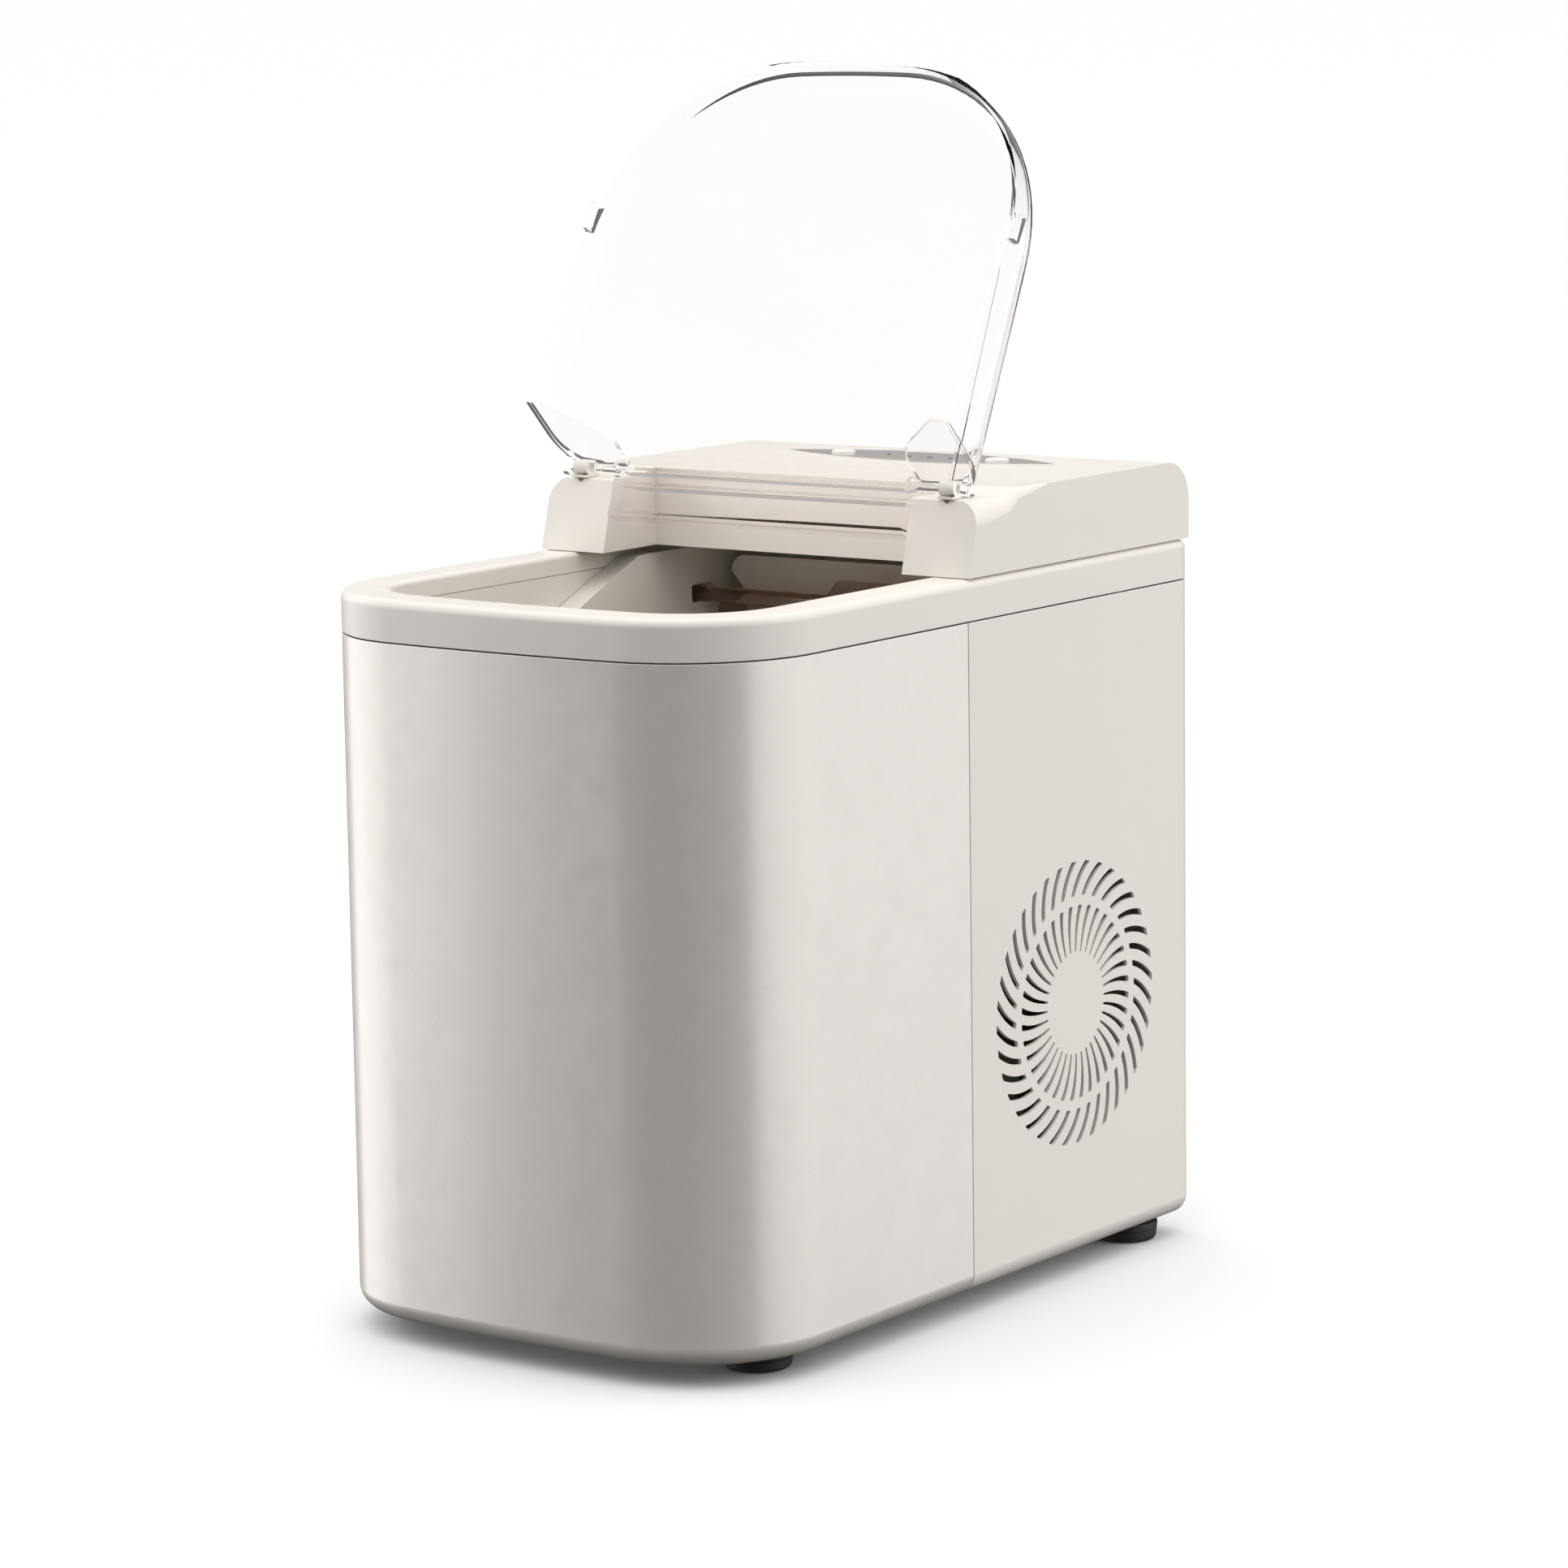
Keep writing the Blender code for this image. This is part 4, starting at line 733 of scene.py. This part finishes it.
def make_top_cover():
    inner = COVER_SIDE - 2.2
    cover = hood()
    top, rear = COVER_TOP - 2.2, COVER_REAR - 2.2
    fillet = arc((rear - 15.8, top - 15.8), 15.8, 90, 0, 12)
    line = [(RECESS_Y + 2.2, COVER_LOW - 2), (RECESS_Y + 2.2, top), *fillet, (rear, COVER_LOW - 2)]
    rear_room = prism("rear_room", [line], 3 - inner, inner - 3, "X")
    rooms = []
    for low, high in ((1 - inner, -TOWER_INNER - 2.2), (TOWER_INNER + 2.2, inner - 1)):
        line = [(2.4, RIM_TOP - 2), (2.4 + TOWER_LEAN, TOWER_TOP - 2.2),
                (RECESS_Y + 4.0, TOWER_TOP - 2.2), (RECESS_Y + 4.0, RIM_TOP - 2)]
        edge = math.copysign(inner - 5, low)
        room = prism("tower_room", [line], low, high, "X")
        keep = block("keep", (edge - 6, -5, TOWER_TOP - 8), (edge + 6, 60, COVER_TOP + 5))
        rooms.append(cut(room, keep))
    recess = block("recess", (-TOWER_INNER, -20, RIM_TOP - 10),
                   (TOWER_INNER, RECESS_Y, COVER_TOP + 20))
    tools = []
    for x in (middle("hinge_saddle_left", X), middle("hinge_saddle_right", X)):
        tools.append(rod("notch", (x, TOWER_LEAN - 3, TOWER_TOP), (x, TOWER_LEAN + 2.2, TOWER_TOP),
                         1.9, 24))
    holes = [rod("button_hole", (x, PANEL_Y, COVER_TOP - 9), (x, PANEL_Y, COVER_TOP + 9), 6.2)
             for x in (-BUTTON_X, BUTTON_X)]
    holes += [rod("lamp_hole", (x, PANEL_Y, COVER_TOP - 9), (x, PANEL_Y, COVER_TOP + 9), 1.9)
              for x in LAMP_PLACES]
    pocket = prism("pocket", [lens_outline(0.3)], COVER_TOP - 0.8, COVER_TOP + 5)
    cover = cut(cover, recess)
    cover = cut(cover, tower_shaving(-1), tower_shaving(1))
    cover = cut(cover, grouped("notches", tools))
    cover = cut(cover, pocket)
    cover = cut(cover, rear_room, *rooms)
    cover = cut(cover, grouped("holes", holes))
    show(soften(cover, 0.8, 3, 50), "housing", "ivory_plastic", ["top_cover"])


def make_panel():
    low, high = span("control_panel", Z)
    rings = [lens_outline()]
    rings += [arc((x, PANEL_Y), 6.4, 0, 355, 71) for x in (-BUTTON_X, BUTTON_X)]
    rings += [arc((x, PANEL_Y), 2.0, 0, 345, 23) for x in LAMP_PLACES]
    panel = soften(prism("panel_overlay_film", rings, low, high), 0.12)
    show(panel, "housing", "panel_overlay", ["control_panel"])
    for node, body in (("power_button", "power_key"), ("select_button", "select_key")):
        x = middle(node, X)
        profile = [(0, 0.9), (2.4, 1.0), (4.2, 1.35), (4.9, 1.3), (5.5, 0.9), (5.8, 0.2),
                   (5.8, -4.0), (7.4, -4.0), (7.4, -5.2), (0, -5.2)]
        key = turned(node + "_key", profile, (x, PANEL_Y, COVER_TOP))
        show(key, body, "ivory_plastic", [node])
    guide = block("guide", (-22, PANEL_Y - 3, COVER_TOP - 6.4), (22, PANEL_Y + 3, COVER_TOP - 4.4))
    pipes = [rod("pipe", (x, PANEL_Y, COVER_TOP - 5), (x, PANEL_Y, COVER_TOP + 0.5), 1.6, 32)
             for x in LAMP_PLACES]
    guide = soften(fuse(guide, grouped("pipes", pipes)), 0.2, 2, 60)
    guide.name = "indicator_lenses"
    show(guide, "housing", "clear_plastic", ["light_guide"])


# ---------------------------------------------------------------- lid and hinge


def lid_end_y(z):
    """Where the lid stops at a height, just ahead of the leaning tower faces."""
    return -3.0 + TOWER_LEAN * (z - RIM_TOP) / (TOWER_TOP - RIM_TOP)


def lid_section():
    """The lid's wall from its edge up to its window, as (inset, part of the full height)."""
    shoulder = [(14.5 - 12.0 * math.cos(t), 0.5 + 0.44 * math.sin(t))
                for t in (math.radians(9 * i) for i in range(11))]
    return [(2.5, 0.0), *shoulder, (22.4, 0.97), (23.7, 1.0)]


def lid_top(y):
    """The closed lid's top slopes down from over the hinge to the front."""
    return HINGE_Z + LID_OVER_HINGE + math.tan(LID_SLOPE) * (y - HINGE_Y)


def lid_row(inset, part):
    edge = RIM_TOP + 1.8
    end = lid_end_y(edge + part * (lid_top(HINGE_Y) - edge))
    return [(x, y, edge + part * (lid_top(y) - edge))
            for x, y in open_front(inset, end, LID_CORNER)]


def lean_back(thing):
    """Shear a wall so that it lies parallel to the towers' leaning faces."""
    for vert in thing.data.vertices:
        vert.co.y += TOWER_LEAN * (vert.co.z - RIM_TOP * MM) / (TOWER_TOP - RIM_TOP)
    return thing


def about_hinge(thing, angle):
    pivot = Matrix.Translation(Vector((0, HINGE_Y, HINGE_Z)) * MM)
    thing.data.transform(pivot @ Matrix.Rotation(angle, 4, "X") @ pivot.inverted())
    return thing


def flange_block(name, x_low, x_high, rear, over):
    """A box of the rear flange: its reach behind the hinge axis and its height over it."""
    low = (x_low, HINGE_Y + rear[0], HINGE_Z + over[0])
    high = (x_high, HINGE_Y + rear[1], HINGE_Z + over[1])
    return about_hinge(block(name, low, high), LID_SLOPE)


def make_lid():
    lid = thicken(skin("clear_lid", [list(reversed(lid_row(*at))) for at in lid_section()],
                       cap_last=True), 2.0)
    top = lid_top(5.0)
    wall = [(82.0, top - 2.4), (82.0, 362.0), (86.0, 352.5), (107.0, 335.4), (117.5, 335.4),
            (117.5, 356.6), (115.7, 364.6), (111.7, 370.9), (106.6, 375.1), (98.3, 376.5),
            (96.6, top - 1.0), (86.0, top - 1.0)]
    extras = []
    for sign in (-1, 1):
        line = [(sign * x, z) for x, z in wall]
        extras.append(lean_back(prism("end_wall", [line], -5.2, -3.2, "Y")))
        for x0, x1 in ((FLANGE_HALF - 2.7, FLANGE_HALF + 0.2), (110.4, 113.4)):
            extras.append(rod("lug", (sign * x0, HINGE_Y, HINGE_Z),
                              (sign * x1, HINGE_Y, HINGE_Z), 4.1))
        extras.append(rod("rod", (sign * (FLANGE_HALF - 1), HINGE_Y, HINGE_Z),
                          (sign * 112, HINGE_Y, HINGE_Z), 2.0))
        x0, x1 = sorted((sign * 110.6, sign * 113.2))
        extras.append(block("arm", (x0, 4.5, 368.0), (x1, HINGE_Y, HINGE_Z + 1.4)))
        x0, x1 = sorted((sign * TAB_X, sign * (TAB_X + 4.6)))
        extras.append(block("tab", (x0, TAB_Y - 7, RIM_TOP + 1.9),
                            (x1, TAB_Y + 7, RIM_TOP + 7.8), 0.8))
        x0, x1 = sorted((sign * (FLANGE_HALF - 2.5), sign * FLANGE_HALF))
        extras.append(flange_block("flange_end", x0, x1, (-4.1, 22.8), (-0.5, 7.0)))
    half, level = FLANGE_HALF - 0.1, LID_OVER_HINGE - 0.3
    extras.append(flange_block("flange", -half, half, (-9.0, 23.0), (level - 2.0, level)))
    for low, high in ((-1.2, 1.2), (5.8, 8.2), (19.6, 22.8)):
        extras.append(flange_block("rib", -half, half, (low, high), (-0.4, 7.0)))
    lid = soften(fuse(lid, *extras), 0.25)
    about_hinge(lid, LID_OPEN)
    lid.visible_shadow = False
    show(lid, "lid", "clear_plastic", ["lid"], sharp=30)


def make_saddles():
    for node in ("hinge_saddle_left", "hinge_saddle_right"):
        x = middle(node, X)
        ring = arc((HINGE_Y, HINGE_Z), 4.2, 130, 410, 40) + arc(
            (HINGE_Y, HINGE_Z), 2.35, 410, 130, 40)
        clip = prism(node + "_clip", [ring], x - 4, x + 4, "X")
        foot = block("foot", (x - 4, HINGE_Y - 4.9, TOWER_TOP + 0.2),
                     (x + 4, HINGE_Y + 5.5, TOWER_TOP + 1.4))
        show(soften(fuse(clip, foot), 0.2), "housing", "liner_plastic", [node])


# ---------------------------------------------------------------- ice well, basket, chute


def make_ice_well():
    rear = 12.0
    chamber_floor, chamber_rear = 238.0, side("ice_well", Y, 1)
    outside = RIM_WIDTH - WELL_WALL
    well = prism("bin_liner", [open_front(outside, rear)], WELL_FLOOR, WELL_TOP)
    half, inner = HALF_WIDTH - outside, HALF_WIDTH - RIM_WIDTH
    chamber = block("chamber", (-half, 4, chamber_floor), (half, chamber_rear, WELL_TOP))
    top = WELL_TOP + 20
    room = prism("room", [open_front(RIM_WIDTH, rear - WELL_WALL)], WELL_FLOOR + WELL_WALL, top)
    line = rounded(rectangle((-inner, -10), (inner, chamber_rear - WELL_WALL)), [0, 0, 6, 6], 6)
    chamber_room = prism("chamber_room", [line], chamber_floor + WELL_WALL, top)
    tools = [rod("drain", (DRAIN[0], DRAIN[1], 100), (DRAIN[0], DRAIN[1], 130), 8.0)]
    tools += [rod("tube_hole", (x, chamber_rear - 8, 300), (x, chamber_rear + 8, 300), 5.0)
              for x in (-30.0, 30.0)]
    tools.append(rod("hose_hole", (-60, chamber_rear - 8, 310.5), (-60, chamber_rear + 8, 310.5),
                     5.6))
    tools.append(rod("shaft_hole", (94, TRAY_Y, TRAY_Z), (106, TRAY_Y, TRAY_Z), 6.0))
    well = cut(fuse(well, chamber), room, chamber_room, grouped("well_tools", tools))
    show(soften(well, 0.6, 2, 60), "housing", "liner_plastic", ["ice_well"])


def basket_outline(inset):
    half = 74.0 - inset
    low, high = -154.0 + inset, -14.0 - inset
    corner, small = 40.0 - inset, 10.0 - inset
    return (
        arc((half - corner, low + corner), corner, -90, 0, 14)
        + arc((half - small, high - small), small, 0, 90, 6)
        + arc((-half + small, high - small), small, 90, 180, 6)
        + arc((-half + corner, low + corner), corner, 180, 270, 14)
    )


def upright_slot(a, low, high):
    half = 2.5
    return rounded(rectangle((a - half, low), (a + half, high)), half * 0.97, 5)


def make_basket():
    low, high = span("ice_basket", Z)
    lip = high - 2.2
    section = [(6.2, low), (3.9, low + 0.6), (3.2, low + 2.0), (0.0, lip), (-2.8, lip),
               (-3.3, lip + 0.4), (-3.4, lip + 1.2), (-3.0, high - 0.2), (-2.2, high),
               (1.6, high), (2.1, high - 0.4), (5.3, low + 5.0), (6.6, low + 2.8),
               (9.2, low + 2.2)]
    rows = [at_height(basket_outline(inset), z) for inset, z in section]
    basket = skin("bullet_ice_basket", rows, ring=True, cap_first=True, cap_last=True)
    floor = [prism("floor_slot", [rounded(rectangle((x - 2, -138), (x + 2, -30)), 1.95, 5)],
                   110, 140) for x in range(-54, 55, 18)]
    sides = [prism("side_slot", [upright_slot(y, 142, 200)], -100, 100, "X")
             for y in range(-104, -24, 18)]
    fronts = [prism("front_slot", [upright_slot(x, 142, 200)], -180, 0, "Y")
              for x in range(-27, 28, 18)]
    basket = cut(basket, grouped("floor_slots", floor), grouped("side_slots", sides),
                 grouped("front_slots", fronts))
    show(soften(basket, 0.35), "basket", "liner_plastic", ["ice_basket"])


def make_cheeks():
    """Side plates of the ice chute: each front edge slopes forward and down over the bin."""
    line = rounded([(-66, 256), (-66, 284), (-60, 289.4), (31, 329), (150, 329), (150, 244),
                    (14, 244)], [2, 3, 5, 4, 1, 1, 3], 5)
    shovel_y = middle("ice_shovel", Y)
    y0, y1, half = shovel_y - 4.5, shovel_y + 14.5, SHOVEL_ROD + 0.5
    for node in ("chute_cheek_left", "chute_cheek_right"):
        x0, x1 = span(node, X)
        sign = math.copysign(1, x0)
        face = min(abs(x0), abs(x1)) * sign
        plate = soften(prism(node + "_plate", [line], x0, x1, "X"), 2.6, 5, 40)
        slot = rounded(rectangle((y0, SHOVEL_Z - half), (y1, SHOVEL_Z + half)), 1.6, 4)
        tools = [prism("slot", [slot], x0 - 2, x1 + 2, "X"),
                 rod("bore", (x0 - 2, TRAY_Y, TRAY_Z), (x1 + 2, TRAY_Y, TRAY_Z), 5.4)]
        groove = [rounded(rectangle((y0 - g, 274 - g), (y1 + g, 299 + g)), 1.2, 4)
                  for g in (0.45, 0.0)]
        low, high = sorted((face - sign, face + 0.5 * sign))
        tools.append(prism("groove", groove, low, high, "X"))
        low, high = sorted((sign * (side("water_tray", X, 1) + 0.1), sign * 105.0))
        tools.append(rod("hub_room", (low, TRAY_Y, TRAY_Z), (high, TRAY_Y, TRAY_Z), 8.6))
        plate = cut(plate, *tools)
        show(soften(plate, 0.3, 2, 60), "housing", "liner_plastic", [node])


def make_ramp():
    half = side("ice_ramp", X, 1)
    ramp = prism("slotted_ramp", [[(8, 249), (8, 251.5), (150, 265.5), (150, 263)]], -half, half,
                 "X")
    slots = [prism("slot", [rounded(rectangle((x - 2, 24), (x + 2, 140)), 1.95, 5)], 230, 290)
             for x in range(-70, 71, 14)]
    ramp = cut(ramp, grouped("ramp_slots", slots))
    show(soften(ramp, 0.35), "housing", "liner_plastic", ["ice_ramp"])


def make_baffle():
    """The white splash panel ahead of the water tray, its top turned back, one corner round."""
    low, high = (tuple(v / MM for v in corner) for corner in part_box("evaporator_baffle"))
    x0, x1, y0, y1, z0, z1 = low[0], high[0], low[1], high[1], low[2], high[2]
    line = [(x1, z0), (x1, z1), (x0 + 8, z1), *arc((x0 + 8, z1 - 8), 8, 90, 180, 12)[1:],
            (x0 + 7, 307.6), (x0 + 9.8, 296), (x0 + 10.2, z0)]
    panel = prism("splash_panel", [line], y0, y0 + 2.4, "Y")
    turned_back = block("top", (x0 + 8, y0 + 1, z1 - 2.4), (x1, y1, z1))
    panel = soften(fuse(panel, turned_back), 0.9, 3, 50)
    show(panel, "housing", "liner_plastic", ["evaporator_baffle"])


# ---------------------------------------------------------------- ice-making parts


def make_evaporator():
    top = TRAY_Z + 26.0
    pipe_y = 158.6
    bar = rod("freezing_bar", (-66, TRAY_Y, top), (66, TRAY_Y, top), 5.0)
    fingers = []
    for x in range(-56, 57, 16):
        profile = [(0, top - TRAY_Z), (3.6, top - TRAY_Z), (3.25, -11.5), (2.7, -13.2),
                   (1.5, -13.9), (0, -14)]
        fingers.append(turned("finger", profile, (x, TRAY_Y, TRAY_Z), 32))
    pipes = [
        tube("pipe", [(x, TRAY_Y, top), (x, TRAY_Y + 6, top + 10), (x, TRAY_Y + 14, top + 15),
                      (x, TRAY_Y + 24, top + 16), (x, pipe_y, top + 10), (x, pipe_y, 304),
                      (x, pipe_y + 3.4, 300), (x, side("evaporator", Y, 1), 300)], 2.6)
        for x in (-30.0, 30.0)
    ]
    show(fuse(bar, grouped("fingers", fingers), *pipes), "housing", "nickel", ["evaporator"],
         sharp=60)


def make_water_tray():
    half, radius = 70.0, 25.0
    centre = (TRAY_Y, TRAY_Z)
    trough = prism("tilting_tray", [arc(centre, radius, 192, 348, 40)
                                    + arc(centre, radius - 2, 348, 192, 40)], -half, half, "X")
    ends = []
    for sign in (-1, 1):
        x0, x1 = sorted((sign * (half - 2.5), sign * half))
        face = arc(centre, radius - 0.5, 190, 350, 40) + arc(centre, 7.0, 20, 160, 14)
        ends.append(prism("end", [face], x0, x1, "X"))
        ends.append(rod("trunnion", (sign * (half - 2), *centre),
                        (sign * side("water_tray", X, 1), *centre), 5.0))
    tray = soften(fuse(trough, *ends), 0.4)
    tray.visible_shadow = False
    show(tray, "tray", "smoke_plastic", ["water_tray"])


def make_shovel():
    y, half = middle("ice_shovel", Y), side("ice_shovel", X, 1)
    bar = rod("ice_pusher", (-half, y, SHOVEL_Z), (half, y, SHOVEL_Z), SHOVEL_ROD)
    blade = block("blade", (-74, y - 1.2, 278), (74, y + 1.2, SHOVEL_Z), 0.3)
    line = rounded([(-14, SHOVEL_Z), (74, SHOVEL_Z), (74, 317.4), (-4, 317.4)], [0, 0, 2, 4], 5)
    raised = prism("raised", [line], y - 1.15, y + 1.15, "Y")
    teeth = [prism("tooth", [rounded(rectangle((x - 4.5, 268), (x + 4.5, 280)), [3, 3, 0, 0], 5)],
                   y - 1.1, y + 1.1, "Y") for x in range(-64, 65, 16)]
    pusher = fuse(bar, blade, raised, grouped("teeth", teeth))
    pusher.visible_shadow = False
    show(soften(pusher, 0.25), "shovel", "smoke_plastic", ["ice_shovel"])


# ---------------------------------------------------------------- rear details


def make_inlet():
    x0, x1 = span("power_inlet", X)
    z0, z1 = span("power_inlet", Z)
    face = rounded(rectangle((x0, z0), (x1, z1)), 1.6)
    inlet = prism("mains_inlet", [face], REAR_Y - 24, REAR_Y - 0.2, "Y")
    pocket = rounded([(-84, 34), (-62, 34), (-62, 46.5), (-66, 50), (-80, 50), (-84, 46.5)], 1.0)
    well = prism("pocket", [pocket], REAR_Y - 16, REAR_Y + 5, "Y")
    pins = [block("pin", (x - 1.2, REAR_Y - 18, 40), (x + 1.2, REAR_Y - 5, 45), 0.5)
            for x in (-78, -68)]
    inlet = soften(cut(inlet, well), 0.4)
    show(inlet, "housing", "black_plastic", ["power_inlet"])
    for number, pin in enumerate(pins, start=1):
        pin.name = f"inlet_pin_{number}"
        show(pin, "housing", "steel")


def make_screws():
    for i in range(1, 5):
        node = f"rear_screw_{i}"
        x, z = middle(node, X), middle(node, Z)
        head = REAR_Y - 0.1
        profile = [(0, head), (1.6, head), (2.9, head - 0.25), (3.7, head - 0.9),
                   (3.9, head - 1.6), (1.9, head - 1.6), (1.9, REAR_Y - 13.5), (1.5, REAR_Y - 14),
                   (0, REAR_Y - 14)]
        screw = turned(node + "_cross_head", profile, (0, 0, 0), 40)
        screw.data.transform(Matrix.Translation(Vector((x, 0, z)) * MM)
                             @ Matrix.Rotation(math.radians(-90), 4, "X"))
        slots = [block("slot", (x - 1.9, head - 1.0, z - 0.4), (x + 1.9, head + 1, z + 0.4)),
                 block("slot", (x - 0.4, head - 1.0, z - 1.9), (x + 0.4, head + 1, z + 1.9))]
        show(soften(cut(screw, *slots), 0.08), "housing", "steel", [node])


def make_rotor():
    """Seven swept, twisted blades round a domed hub."""
    x0, x1 = span("fan_rotor", X)
    reach = extent("fan_rotor", Z) / 2 - 0.6
    profile = [(0, x1), (11, x1), (15.5, x1 - 0.8), (18, x1 - 2.6), (19, x1 - 5), (19, x0),
               (17.4, x0), (17.4, x1 - 6), (2.3, x1 - 6), (2.3, x1 - 8), (0, x1 - 8)]
    hub = turned("fan_hub", profile, (0, 0, 0), 56)
    blade_count, root, steps = 7, 17.5, 8
    rows = []
    for i in range(steps + 1):
        part = i / steps
        radius = root + (reach - root) * part
        pitch = math.radians(52 - 24 * part)
        chord = 17 + 5 * part
        sweep = math.radians(14 * part)
        row = []
        for k in range(steps + 1):
            along = (k / steps - 0.5) * chord
            turn = sweep + along * math.cos(pitch) / radius
            row.append((radius * math.cos(turn), radius * math.sin(turn),
                        (x0 + x1) / 2 + along * math.sin(pitch) * 0.62))
        rows.append(row)
    blades = []
    for i in range(blade_count):
        blade = thicken(skin("blade", rows), 1.4)
        blade.data.transform(Matrix.Rotation(2 * math.pi * i / blade_count, 4, "Z"))
        blades.append(blade)
    rotor = fuse(hub, *blades)
    rotor.name = "axial_fan"
    rotor.data.transform(Matrix.Translation(Vector((0, FAN[1], FAN[2])) * MM)
                         @ Matrix.Rotation(math.radians(90), 4, "Y"))
    show(rotor, "fan", "black_plastic", ["fan_rotor"])


def dress_nodes():
    """Every CAD node that still shows gets the procedural look of its own material slot."""
    slots = {s["node"]: s["material_slot"] for s in frame["record"]["subparts"]}
    for name, node in frame["nodes"].items():
        if node.hide_render:
            continue
        node.data.materials.clear()
        node.data.materials.append(LOOKS[slots[name]])
        node.data.shade_smooth()
        node.data.set_sharp_from_angle(angle=math.radians(35))


# ---------------------------------------------------------------- stage, light and camera


FLOOR_HALF, FLOOR_DROP = 150.0, 0.0005    # metres; it reaches past the top of the picture
SKY_HORIZON, SKY_ZENITH, SKY_FALL = 0.07, 2.0, 1.25


def make_stage():
    bm = bmesh.new()
    bmesh.ops.create_grid(bm, x_segments=4, y_segments=4, size=FLOOR_HALF)
    floor = from_bmesh(bm, "floor")
    floor.location.z = -FLOOR_DROP
    floor.data.materials.append(
        surface("pale_floor", (0.82, 0.82, 0.82), 0.7, mottle=0.004, grain=2.0))
    floor.visible_diffuse = floor.visible_glossy = floor.visible_shadow = False


def softbox(name, place, aim, width, height, power):
    lamp = bpy.data.lights.new(name, "AREA")
    lamp.shape = "RECTANGLE"
    lamp.size, lamp.size_y = width, height
    lamp.energy = power
    thing = bpy.data.objects.new(name, lamp)
    bpy.context.scene.collection.objects.link(thing)
    thing.location = place
    thing.rotation_euler = (Vector(aim) - Vector(place)).to_track_quat("-Z", "Y").to_euler()
    thing.visible_camera = False


def make_lights():
    """A sky that brightens from the horizon to the zenith, and two softboxes low at the sides."""
    world = bpy.data.worlds.new("studio")
    bpy.context.scene.world = world
    world.use_nodes = True
    tree = world.node_tree
    place = tree.nodes.new("ShaderNodeTexCoord")
    split = tree.nodes.new("ShaderNodeSeparateXYZ")
    link(tree, place.outputs["Generated"], split.inputs["Vector"])
    upward = tree.nodes.new("ShaderNodeMath")
    upward.operation = "POWER"
    upward.inputs[1].default_value = SKY_FALL
    link(tree, spread(tree, split.outputs["Z"], 0.0, 1.0, 0.0, 1.0), upward.inputs[0])
    ground = tree.nodes["Background"]
    ground.inputs["Color"].default_value = (1.0, 0.995, 0.99, 1)
    link(tree, spread(tree, upward.outputs["Value"], SKY_HORIZON, SKY_ZENITH, 0.0, 1.0),
         ground.inputs["Strength"])
    softbox("left_front", (-1.5, -0.57, 0.34), (0, 0, 0.2), 2.0, 1.8, 21)
    softbox("right_rear", (1.45, 0.67, 0.34), (0, 0, 0.2), 2.5, 1.8, 19)


CAMERA_AZIMUTH, CAMERA_RISE, CAMERA_ROLL, CAMERA_DISTANCE = 35.93, 9.09, -0.83, 2.437
CAMERA_AIM_X, CAMERA_AIM_Z = 0.0143, 0.2316
CAMERA_LENS = 122.2


def make_camera():
    around, rise = math.radians(CAMERA_AZIMUTH), math.radians(CAMERA_RISE)
    aim = Vector((CAMERA_AIM_X * math.cos(around), CAMERA_AIM_X * math.sin(around), CAMERA_AIM_Z))
    back = Vector((math.sin(around) * math.cos(rise), -math.cos(around) * math.cos(rise),
                   math.sin(rise)))
    camera = bpy.data.objects.new("camera", bpy.data.cameras.new("camera"))
    bpy.context.scene.collection.objects.link(camera)
    camera.data.lens = CAMERA_LENS
    camera.location = aim + back * CAMERA_DISTANCE
    roll = Quaternion((0, 0, 1), math.radians(CAMERA_ROLL))
    camera.rotation_euler = ((-back).to_track_quat("-Z", "Y") @ roll).to_euler()
    camera.data.clip_start, camera.data.clip_end = 0.05, 400
    bpy.context.scene.camera = camera


for make in (
    make_camera, make_front_shell, make_rear_housing, make_top_frame, make_base, make_feet,
    make_drain, make_top_cover, make_panel, make_lid, make_saddles, make_ice_well, make_basket,
    make_cheeks, make_ramp, make_baffle, make_evaporator, make_water_tray, make_shovel,
    make_inlet, make_screws, make_rotor, dress_nodes, make_stage, make_lights,
):
    make()
bpy.context.scene.view_settings.view_transform = "Standard"
